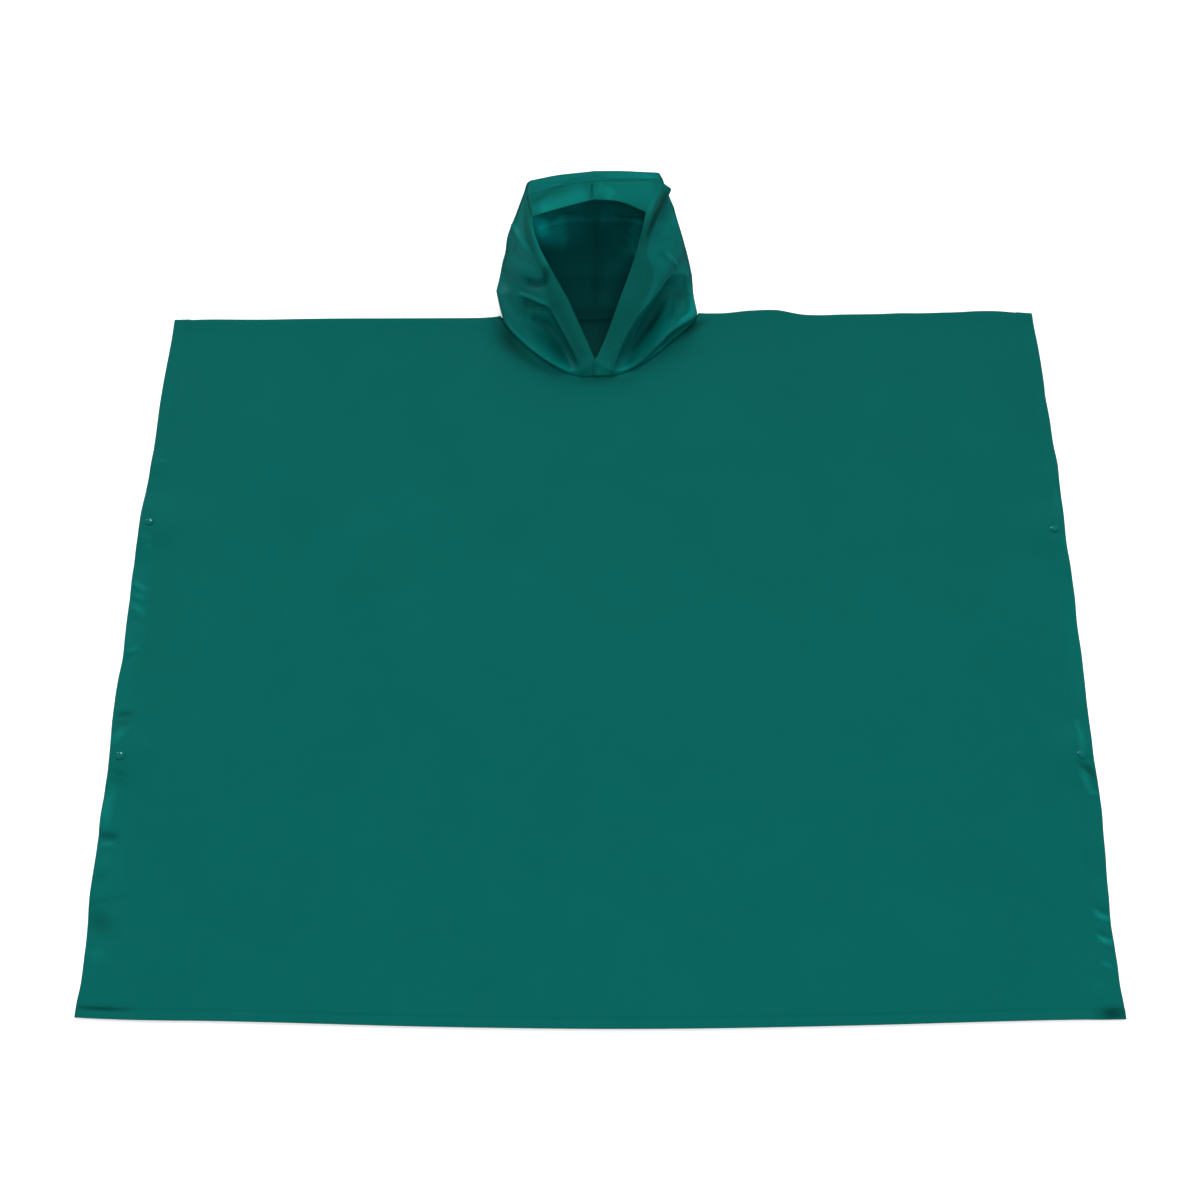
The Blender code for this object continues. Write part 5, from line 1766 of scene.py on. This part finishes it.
@dataclass
class Hood:
    """Hood of two halves joined at the centre seam, with a turned hem round the face."""

    form: HoodForm
    marks: HoodMarks = HoodMarks()
    film: float = 0.0005
    hem_steps: int = 11
    lap_lift: float = 0.0019
    lap_rows: int = 11
    lap_reach: float = 0.012
    fold_columns: float = 3.0
    merge: float = 0.00001
    seam_merge: float = 0.00005
    sharp_angle: float = 70.0
    weld_pitch: float = 0.0035
    surfaces: dict = field(default_factory=dict)

    def __post_init__(self) -> None:
        """Work out both halves with their folds."""
        shoulder_y = self.form.cut.shoulder_y
        for side in Side:
            self.surfaces[side] = self.form.surface(side)
            normals = self.normals(side)
            reach = np.ones(self.surfaces[side].shape[:2])
            first = self.form.along_steps[0]
            reach[:first] = (np.arange(first) / first)[:, None]
            normals = normals * reach[..., None]
            columns = np.arange(normals.shape[1])
            off_hem = (columns - self.form.band_steps + 1) / self.fold_columns
            off_hem = np.clip(off_hem, 0.0, 1.0)
            grid = self.marks.press(side, self.surfaces[side], normals, shoulder_y, off_hem)
            grid[..., 2] = np.maximum(grid[..., 2], 0.0)
            self.surfaces[side] = grid
        self.join_seam()

    def join_seam(self) -> None:
        """Bring both halves to one line along the centre seam, so that the film closes there."""
        left, right = self.surfaces[Side.LEFT], self.surfaces[Side.RIGHT]
        for line in ((-1, slice(None)), (slice(None), -1)):
            shared = (left[line] + right[line]) / 2.0
            left[line] = shared
            right[line] = shared

    def normals(self, side: Side) -> Array:
        """Outward normals of a half, within the seam plane where the halves meet.

        Args:
            side: The half.

        Returns:
            The normals, in the shape of the half's grid.
        """
        normals = grid_normals(self.surfaces[side], float(side.value))
        normals[-1, :, 0] = 0.0
        normals[:, -1, 0] = 0.0
        normals[: self.form.along_steps[0] + 1, 0, 0] = 0.0
        length = np.linalg.norm(normals, axis=2, keepdims=True)
        return normals / np.maximum(length, 1e-12)

    def build_film(self, outer: Material, inner: Material) -> Piece:
        """Make the hood's film, closed along the centre seam.

        Args:
            outer: Finish of its outer face.
            inner: Finish of its inner face.

        Returns:
            The piece.
        """
        points: list = []
        faces: list = []
        for side in Side:
            grid = self.surfaces[side]
            start = sum(len(p) for p in points)
            faces += grid_faces(*grid.shape[:2], start=start, flip=side is Side.LEFT)
            points.append(grid.reshape(-1, 3))
        piece = new_object("hood_film", np.concatenate(points), faces, (outer, inner))
        shell = bmesh.new()
        shell.from_mesh(piece.data)
        bmesh.ops.remove_doubles(shell, verts=shell.verts, dist=self.seam_merge)
        shell.to_mesh(piece.data)
        shell.free()
        give_wall(piece, self.film)
        bake_modifiers(piece)
        self.paint(piece)
        return settle(piece, ["hood_left", "hood_right"])

    def paint(self, piece: Piece) -> None:
        """Give a piece the painted light and shade of its outer and inner faces.

        Args:
            piece: The piece.
        """
        points = mesh_points(piece)
        shoulder_y = self.form.cut.shoulder_y
        store_painted_light(piece, "tone", self.marks.painted_light(points, shoulder_y))
        store_painted_light(piece, "painted_inner_light", self.marks.inner_painted_light(points, shoulder_y))

    def hem_rings(self, side: Side, lift: float) -> Array:
        """Rings of the face hem on one half, from the neck to the crown.

        Args:
            side: The half.
            lift: How much higher the hem's edge lies where it laps over the other half.

        Returns:
            Points of the rings, shape (rings, points a ring, 3).
        """
        band = self.form.band_steps
        base = self.surfaces[side][1:, : band + 1]
        out = self.normals(side)[1:, : band + 1]
        steps = np.linalg.norm(np.diff(base, axis=1), axis=2)
        run = np.concatenate([np.zeros((len(base), 1)), np.cumsum(steps, axis=1)], axis=1)
        rings = []
        for r in range(len(base)):
            section = HemSection(width=1000 * run[r, -1], film=1000 * self.film,
                                 steps=self.hem_steps).ring() * MM
            inset = np.maximum(section[:, 0], 0.0)
            lap = lift * max(1.0 - r / self.lap_rows, 0.0) ** 0.5
            section[:, 0] -= 1.6 * lap * (section[:, 0] < 0.0)
            section[:, 1] += lap * np.clip(1.3 - inset / self.lap_reach, 0.0, 1.0)
            at = np.stack([np.interp(inset, run[r], base[r, :, k]) for k in range(3)], axis=-1)
            up = np.stack([np.interp(inset, run[r], out[r, :, k]) for k in range(3)], axis=-1)
            inward = base[r, 1] - base[r, 0]
            inward /= max(np.linalg.norm(inward), 1e-9)
            beyond = np.minimum(section[:, :1], 0.0) * inward[None, :]
            rings.append(at + beyond + up * section[:, 1:])
        return np.array(rings)

    def build_hems(self, finish: Material) -> list[Piece]:
        """Make the hem round the face, a piece for each half, and the ribs of its welds.

        Args:
            finish: Its finish.

        Returns:
            The hem's two pieces, each with its ribs after it.
        """
        pieces = []
        for side in Side:
            rings = self.hem_rings(side, self.lap_lift if side is Side.RIGHT else 0.0)
            faces = ring_faces(rings.shape[0], rings.shape[1])
            word = side.name.lower()
            piece = new_object(f"face_hem_{word}", rings.reshape(-1, 3), faces, (finish,))
            mend(piece, self.merge)
            piece.data.set_sharp_from_angle(angle=math.radians(self.sharp_angle))
            self.paint(piece)
            pieces.append(settle(piece, [f"hood_hem_{word}"]))
            section = HemSection(width=1.0, steps=self.hem_steps)
            line, facing = weld_line(rings, section)
            ribs = WeldRibs().build(f"weld_face_hem_{word}", line, facing, finish)
            self.paint(ribs)
            pieces.append(ribs)
        return pieces

    def build_crown_weld(self, finish: Material) -> Piece:
        """Make the ribs of the centre seam, from the face hem over the crown and down the back.

        Args:
            finish: The hood's finish.

        Returns:
            The piece.
        """
        first, last = self.form.band_steps + 2, sum(self.form.across_steps[:7])
        line = self.surfaces[Side.LEFT][-1, first:last]
        facing = self.normals(Side.LEFT)[-1, first:last]
        ribs = WeldRibs(pitch=self.weld_pitch).build("weld_crown", line, facing, finish)
        self.paint(ribs)
        return ribs

    def build_neck_weld(self, side: Side, finish: Material) -> Piece:
        """Make the ribs of the weld that joins a hood half to the body, a little above it.

        Args:
            side: The half.
            finish: The hood's finish.

        Returns:
            The piece.
        """
        first, last = self.form.band_steps + 4, sum(self.form.across_steps[:5])
        line = self.surfaces[side][1, first:last]
        facing = self.normals(side)[1, first:last]
        name = f"weld_neck_{side.name.lower()}"
        ribs = WeldRibs(pitch=self.weld_pitch).build(name, line, facing, finish)
        self.paint(ribs)
        return ribs


# Welds


@dataclass(frozen=True)
class WeldRibs:
    """Fine ribs that the welding bar presses into the film along a weld.

    A geometry nodes tree sets a low rib on every step of the weld's line, across the line and
    facing out of the film.
    """

    pitch: float = 0.0030
    length: float = 0.0008
    width: float = 0.0003
    height: float = 0.00012
    uneven: float = 0.15
    seed: int = 5

    def tree(self) -> Tree:
        """Make the tree that turns a weld's line into ribs.

        Returns:
            The tree; its inputs are named for the sizes.
        """
        tree = bpy.data.node_groups.new("weld_ribs", "GeometryNodeTree")
        for name, kind in (("Geometry", "NodeSocketGeometry"), ("Pitch", "NodeSocketFloat"),
                           ("Rib size", "NodeSocketVector"), ("Unevenness", "NodeSocketFloat"),
                           ("Seed", "NodeSocketInt"), ("Finish", "NodeSocketMaterial")):
            tree.interface.new_socket(name, in_out="INPUT", socket_type=kind)
        tree.interface.new_socket("Geometry", in_out="OUTPUT",
                                  socket_type="NodeSocketGeometry")
        nodes, link = tree.nodes, tree.links.new
        given = nodes.new("NodeGroupInput").outputs
        to_curve = nodes.new("GeometryNodeMeshToCurve")
        resample = nodes.new("GeometryNodeResampleCurve")
        resample.mode = "LENGTH"
        link(given["Geometry"], to_curve.inputs["Mesh"])
        link(to_curve.outputs["Curve"], resample.inputs["Curve"])
        link(given["Pitch"], resample.inputs["Length"])
        rib = nodes.new("GeometryNodeMeshUVSphere")
        rib.inputs["Segments"].default_value = 8
        rib.inputs["Rings"].default_value = 6
        rib.inputs["Radius"].default_value = 1.0
        smooth = nodes.new("GeometryNodeSetShadeSmooth")
        link(rib.outputs["Mesh"], smooth.inputs["Geometry"])
        facing = nodes.new("GeometryNodeInputNamedAttribute")
        facing.data_type = "FLOAT_VECTOR"
        facing.inputs["Name"].default_value = "facing"
        up = nodes.new("FunctionNodeAlignRotationToVector")
        up.axis = "Z"
        link(facing.outputs["Attribute"], up.inputs["Vector"])
        turn = nodes.new("FunctionNodeAlignRotationToVector")
        turn.axis = "Y"
        turn.pivot_axis = "Z"
        link(up.outputs["Rotation"], turn.inputs["Rotation"])
        tangent = nodes.new("GeometryNodeInputTangent")
        link(tangent.outputs["Tangent"], turn.inputs["Vector"])
        chance = nodes.new("FunctionNodeRandomValue")
        chance.data_type = "FLOAT"
        ends = {socket.identifier: socket for socket in chance.inputs}
        low = nodes.new("ShaderNodeMath")
        low.operation = "SUBTRACT"
        low.inputs[0].default_value = 1.0
        link(given["Unevenness"], low.inputs[1])
        link(low.outputs["Value"], ends["Min_001"])
        link(given["Seed"], chance.inputs["Seed"])
        size = nodes.new("ShaderNodeVectorMath")
        size.operation = "SCALE"
        link(given["Rib size"], size.inputs["Vector"])
        drawn = {socket.identifier: socket for socket in chance.outputs}
        link(drawn["Value_001"], size.inputs["Scale"])
        place = nodes.new("GeometryNodeInstanceOnPoints")
        link(resample.outputs["Curve"], place.inputs["Points"])
        link(smooth.outputs["Geometry"], place.inputs["Instance"])
        link(turn.outputs["Rotation"], place.inputs["Rotation"])
        link(size.outputs["Vector"], place.inputs["Scale"])
        realize = nodes.new("GeometryNodeRealizeInstances")
        paint = nodes.new("GeometryNodeSetMaterial")
        link(place.outputs["Instances"], realize.inputs["Geometry"])
        link(realize.outputs["Geometry"], paint.inputs["Geometry"])
        link(given["Finish"], paint.inputs["Material"])
        link(paint.outputs["Geometry"], nodes.new("NodeGroupOutput").inputs["Geometry"])
        return tree

    def build(self, name: str, line: Array, facing: Array, finish: Material) -> Piece:
        """Make the ribs of one weld.

        Args:
            name: The piece's name.
            line: Points of the weld's middle line.
            facing: Which way the film faces at each point.
            finish: The film's finish.

        Returns:
            The piece.
        """
        mesh = bpy.data.meshes.new(name)
        edges = [(k, k + 1) for k in range(len(line) - 1)]
        mesh.from_pydata([tuple(map(float, p)) for p in line], edges, [])
        layer = mesh.attributes.new("facing", "FLOAT_VECTOR", "POINT")
        layer.data.foreach_set("vector", np.asarray(facing, dtype=np.float32).ravel())
        piece = bpy.data.objects.new(name, mesh)
        bpy.context.scene.collection.objects.link(piece)
        ribs = piece.modifiers.new("ribs", "NODES")
        ribs.node_group = self.tree()
        values = {"Pitch": self.pitch, "Rib size": (self.length, self.width, self.height),
                  "Unevenness": self.uneven, "Seed": self.seed, "Finish": finish}
        for socket in ribs.node_group.interface.items_tree:
            if socket.in_out == "INPUT" and socket.name in values:
                ribs[socket.identifier] = values[socket.name]
        bake_modifiers(piece)
        piece.data.materials.clear()
        piece.data.materials.append(finish)
        piece.data.polygons.foreach_set("material_index", [0] * len(piece.data.polygons))
        return settle(piece, [])


def weld_line(rings: Array, section: HemSection) -> tuple[Array, Array]:
    """Middle line of a hem's weld, and which way it faces.

    Args:
        rings: The hem's rings.
        section: The hem's cross-section.

    Returns:
        Points of the line, and unit vectors out of the film.
    """
    first = 8 + section.steps
    line = 0.5 * (rings[:, first] + rings[:, first + 1])
    facing = np.cross(rings[:, first + 1] - rings[:, first], np.gradient(line, axis=0))
    away = line - rings.mean(axis=1)
    facing *= np.sign(np.sum(facing * away, axis=1, keepdims=True))
    return line, facing / np.linalg.norm(facing, axis=1, keepdims=True)


# Press studs


@dataclass(frozen=True)
class PressStud:
    """Moulded press stud: domed cap and socket above, back cap and ball below."""

    steps: int = 40
    cap_radius: float = 0.0060
    cap_height: float = 0.0022
    shank_radius: float = 0.0019
    back_radius: float = 0.0052
    back_height: float = 0.0010
    rim_height: float = 0.0007
    ball_radius: float = 0.0042
    ball_top: float = 0.0046
    ball_low: float = 0.0024
    merge: float = 0.000001
    sharp_angle: float = 38.0

    def profile(self, cap_low: float) -> list[tuple[float, float]]:
        """Outline of the stud from the top of its axis down to the surface.

        Args:
            cap_low: Height of the cap's lower face.

        Returns:
            Radius and height of each point.
        """
        r, h, rim = self.cap_radius, self.cap_height, self.rim_height
        dome = [(0.94 * r * math.sin(t), cap_low + rim + (h - rim) * math.cos(t))
                for t in np.radians((0, 10, 20, 30, 40, 50, 60, 70, 80, 88))]
        return [
            *dome, (0.96 * r, cap_low + rim), (r, cap_low + 0.0006),
            (r, cap_low + 0.0002), (0.97 * r, cap_low), (self.shank_radius, cap_low),
            (self.shank_radius, self.ball_top), (self.ball_radius, self.ball_top),
            (self.ball_radius, self.ball_low), (self.shank_radius, self.ball_low),
            (self.shank_radius, self.back_height), (self.back_radius * 0.94, self.back_height),
            (self.back_radius, 0.75 * self.back_height), (self.back_radius, 0.0001),
            (0.96 * self.back_radius, 0.0), (0.0, 0.0),
        ]

    def build(self, name: str, place: tuple[float, float], cap_low: float,
              finish: Material) -> Piece:
        """Make one press stud.

        Args:
            name: Its place's name.
            place: Its plan point.
            cap_low: Height of the cap's lower face.
            finish: Its finish.

        Returns:
            The piece.
        """
        profile = self.profile(cap_low)
        turns = 2.0 * math.pi * np.arange(self.steps) / self.steps
        points = []
        for radius, height in profile[1:-1]:
            for turn in turns:
                points.append((place[0] + radius * math.cos(turn),
                               place[1] + radius * math.sin(turn), height))
        rings = len(profile) - 2
        faces = []
        for r in range(rings - 1):
            for k in range(self.steps):
                a, b = r * self.steps + k, r * self.steps + (k + 1) % self.steps
                faces.append((a, a + self.steps, b + self.steps, b))
        top, bottom = len(points), len(points) + 1
        points += [(*place, profile[0][1]), (*place, profile[-1][1])]
        last = (rings - 1) * self.steps
        for k in range(self.steps):
            after = (k + 1) % self.steps
            faces.append((top, k, after))
            faces.append((bottom, last + after, last + k))
        piece = new_object(f"press_stud_{name}", np.array(points), faces, (finish,))
        mend(piece, self.merge)
        piece.data.set_sharp_from_angle(angle=math.radians(self.sharp_angle))
        return settle(piece, [f"stud_cap_{name}", f"stud_back_{name}"])


# The studio


@dataclass(frozen=True)
class Studio:
    """Pale floor, soft lights and the camera."""

    camera_place: tuple = (0.03847, -0.82724, 1.91831)
    camera_turn: tuple = (24.542, 1.0085, 0.2498)
    lens: float = 46.5
    floor_size: float = 60.0
    floor_drop: float = 0.0004
    floor_color: Color = (0.93, 0.93, 0.93)
    floor_glow: float = 0.26

    def build(self, studs: Sequence[Piece]) -> None:
        """Make the floor, lights, world and camera.

        Args:
            studs: Press studs, which get a small light of their own.
        """
        self.build_floor()
        self.add_key(toward=(0.10, 0.66, 0.75), spread=40.0, strength=2.5)
        self.add_light("left", (-2.6, 1.4, 1.3), size=1.2, watts=8.0, shines=False)
        self.add_light("glint", (-2.6, 2.0, 1.7), size=0.30, watts=9.0, shines=True)
        spot = self.add_light("stud_glint", (-0.9, 2.0, 2.8), size=0.5, watts=26.0, shines=True)
        spot.visible_diffuse = False
        lit = bpy.data.collections.new("press_studs")
        for stud in studs:
            lit.objects.link(stud)
        spot.light_linking.receiver_collection = lit
        self.add_light("front", (0.5, -1.9, 2.5), size=1.2, watts=26.0, shines=False)
        world = bpy.data.worlds.new("studio")
        world.use_nodes = True
        sky = world.node_tree.nodes["Background"]
        sky.inputs["Color"].default_value = (0.95, 0.97, 1.0, 1.0)
        sky.inputs["Strength"].default_value = 0.60
        scene = bpy.context.scene
        scene.world = world
        world.cycles_visibility.glossy = False
        scene.view_settings.view_transform = "Standard"
        data = bpy.data.cameras.new("camera")
        data.lens = self.lens
        data.sensor_width = 36.0
        camera = bpy.data.objects.new("camera", data)
        camera.location = self.camera_place
        camera.rotation_euler = tuple(math.radians(a) for a in self.camera_turn)
        scene.collection.objects.link(camera)
        scene.camera = camera

    def build_floor(self) -> None:
        """Make the plain pale floor just under the poncho."""
        half = self.floor_size / 2
        plan = ((-half, -half), (half, -half), (half, half), (-half, half))
        points = np.array([(x, y, -self.floor_drop) for x, y in plan])
        material = bpy.data.materials.new("studio_floor")
        material.use_nodes = True
        tree = material.node_tree
        shader = tree.nodes["Principled BSDF"]
        place = tree.nodes.new("ShaderNodeTexCoord").outputs["Object"]
        clouds = add_noise(tree, place, scale=3.0, detail=2.0)
        tone = tree.nodes.new("ShaderNodeMix")
        tone.data_type = "RGBA"
        tone.inputs["A"].default_value = (*self.floor_color, 1.0)
        tone.inputs["B"].default_value = (*(c * 1.01 for c in self.floor_color), 1.0)
        tree.links.new(clouds, tone.inputs["Factor"])
        tree.links.new(tone.outputs["Result"], shader.inputs["Base Color"])
        shader.inputs["Roughness"].default_value = 0.9
        shader.inputs["Emission Color"].default_value = (1.0, 1.0, 1.0, 1.0)
        shader.inputs["Emission Strength"].default_value = self.floor_glow
        floor = new_object("studio_floor", points, [(0, 1, 2, 3)], (material,))
        floor.visible_glossy = False

    def add_key(self, toward: tuple, spread: float, strength: float) -> None:
        """Add the main light, as wide and as even as an open sky.

        Args:
            toward: Direction from the poncho to the light.
            spread: How wide the light is, in degrees.
            strength: Its strength.
        """
        data = bpy.data.lights.new("key", "SUN")
        data.energy = strength
        data.angle = math.radians(spread)
        light = bpy.data.objects.new("key", data)
        light.rotation_euler = Vector(toward).to_track_quat("Z", "Y").to_euler()
        light.visible_glossy = False
        bpy.context.scene.collection.objects.link(light)

    def add_light(self, name: str, place: tuple, size: float, watts: float,
                  shines: bool) -> Piece:
        """Add a soft square light that looks at the poncho.

        Args:
            name: The light's name.
            place: Its place.
            size: Its side, in metres.
            watts: Its power.
            shines: Whether glossy surfaces mirror it.

        Returns:
            The light.
        """
        data = bpy.data.lights.new(name, "AREA")
        data.energy = watts
        data.size = size
        light = bpy.data.objects.new(name, data)
        light.location = place
        light.visible_glossy = shines
        aim = Vector((0.0, 0.1, 0.0)) - light.location
        light.rotation_euler = aim.to_track_quat("-Z", "Y").to_euler()
        bpy.context.scene.collection.objects.link(light)
        return light


def main() -> None:
    """Dress the poncho and set the studio."""
    logging.basicConfig(level=logging.INFO, format="%(name)s: %(message)s")
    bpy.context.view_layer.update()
    body_film = FilmFinish("body_film", BODY_COLOR).build()
    inner_film = FilmFinish("inner_film", (0.0012, 0.085, 0.078), roughness=0.55,
                            painted_light_attribute="painted_inner_light").build()
    # The hood's films are paler copies of the body's film: painted light
    hood_film = FilmFinish("hood_film", (0.0004, 0.107, 0.095)).build()
    hood_inner = FilmFinish("hood_inner_film", (0.0008, 0.114, 0.109), roughness=0.55,
                            painted_light_attribute="painted_inner_light").build()
    hem_film = FilmFinish("hem_film", BODY_COLOR).build()
    moulded = MouldedFinish("moulded_plastic", (0.0012, 0.105, 0.092)).build()

    cut = BodyCut()
    lie = Lie(cut)
    body = BodyFilm(cut, lie)
    front = body.build_front(body_film, inner_film)
    back = body.build_back(body_film, inner_film)
    hems = BodyHems(body).build(hem_film)
    hood = Hood(HoodForm(cut, lie))
    hood_piece = hood.build_film(hood_film, hood_inner)
    face_hems = hood.build_hems(hem_film)
    hood_welds = [hood.build_neck_weld(side, hood_film) for side in Side]
    hood_welds.append(hood.build_crown_weld(hood_film))
    studs = [PressStud().build(name, lie.stud_place(name), lie.cap_low, moulded)
             for name in lie.studs]

    Studio().build(studs)


if __name__ == "__main__":
    main()
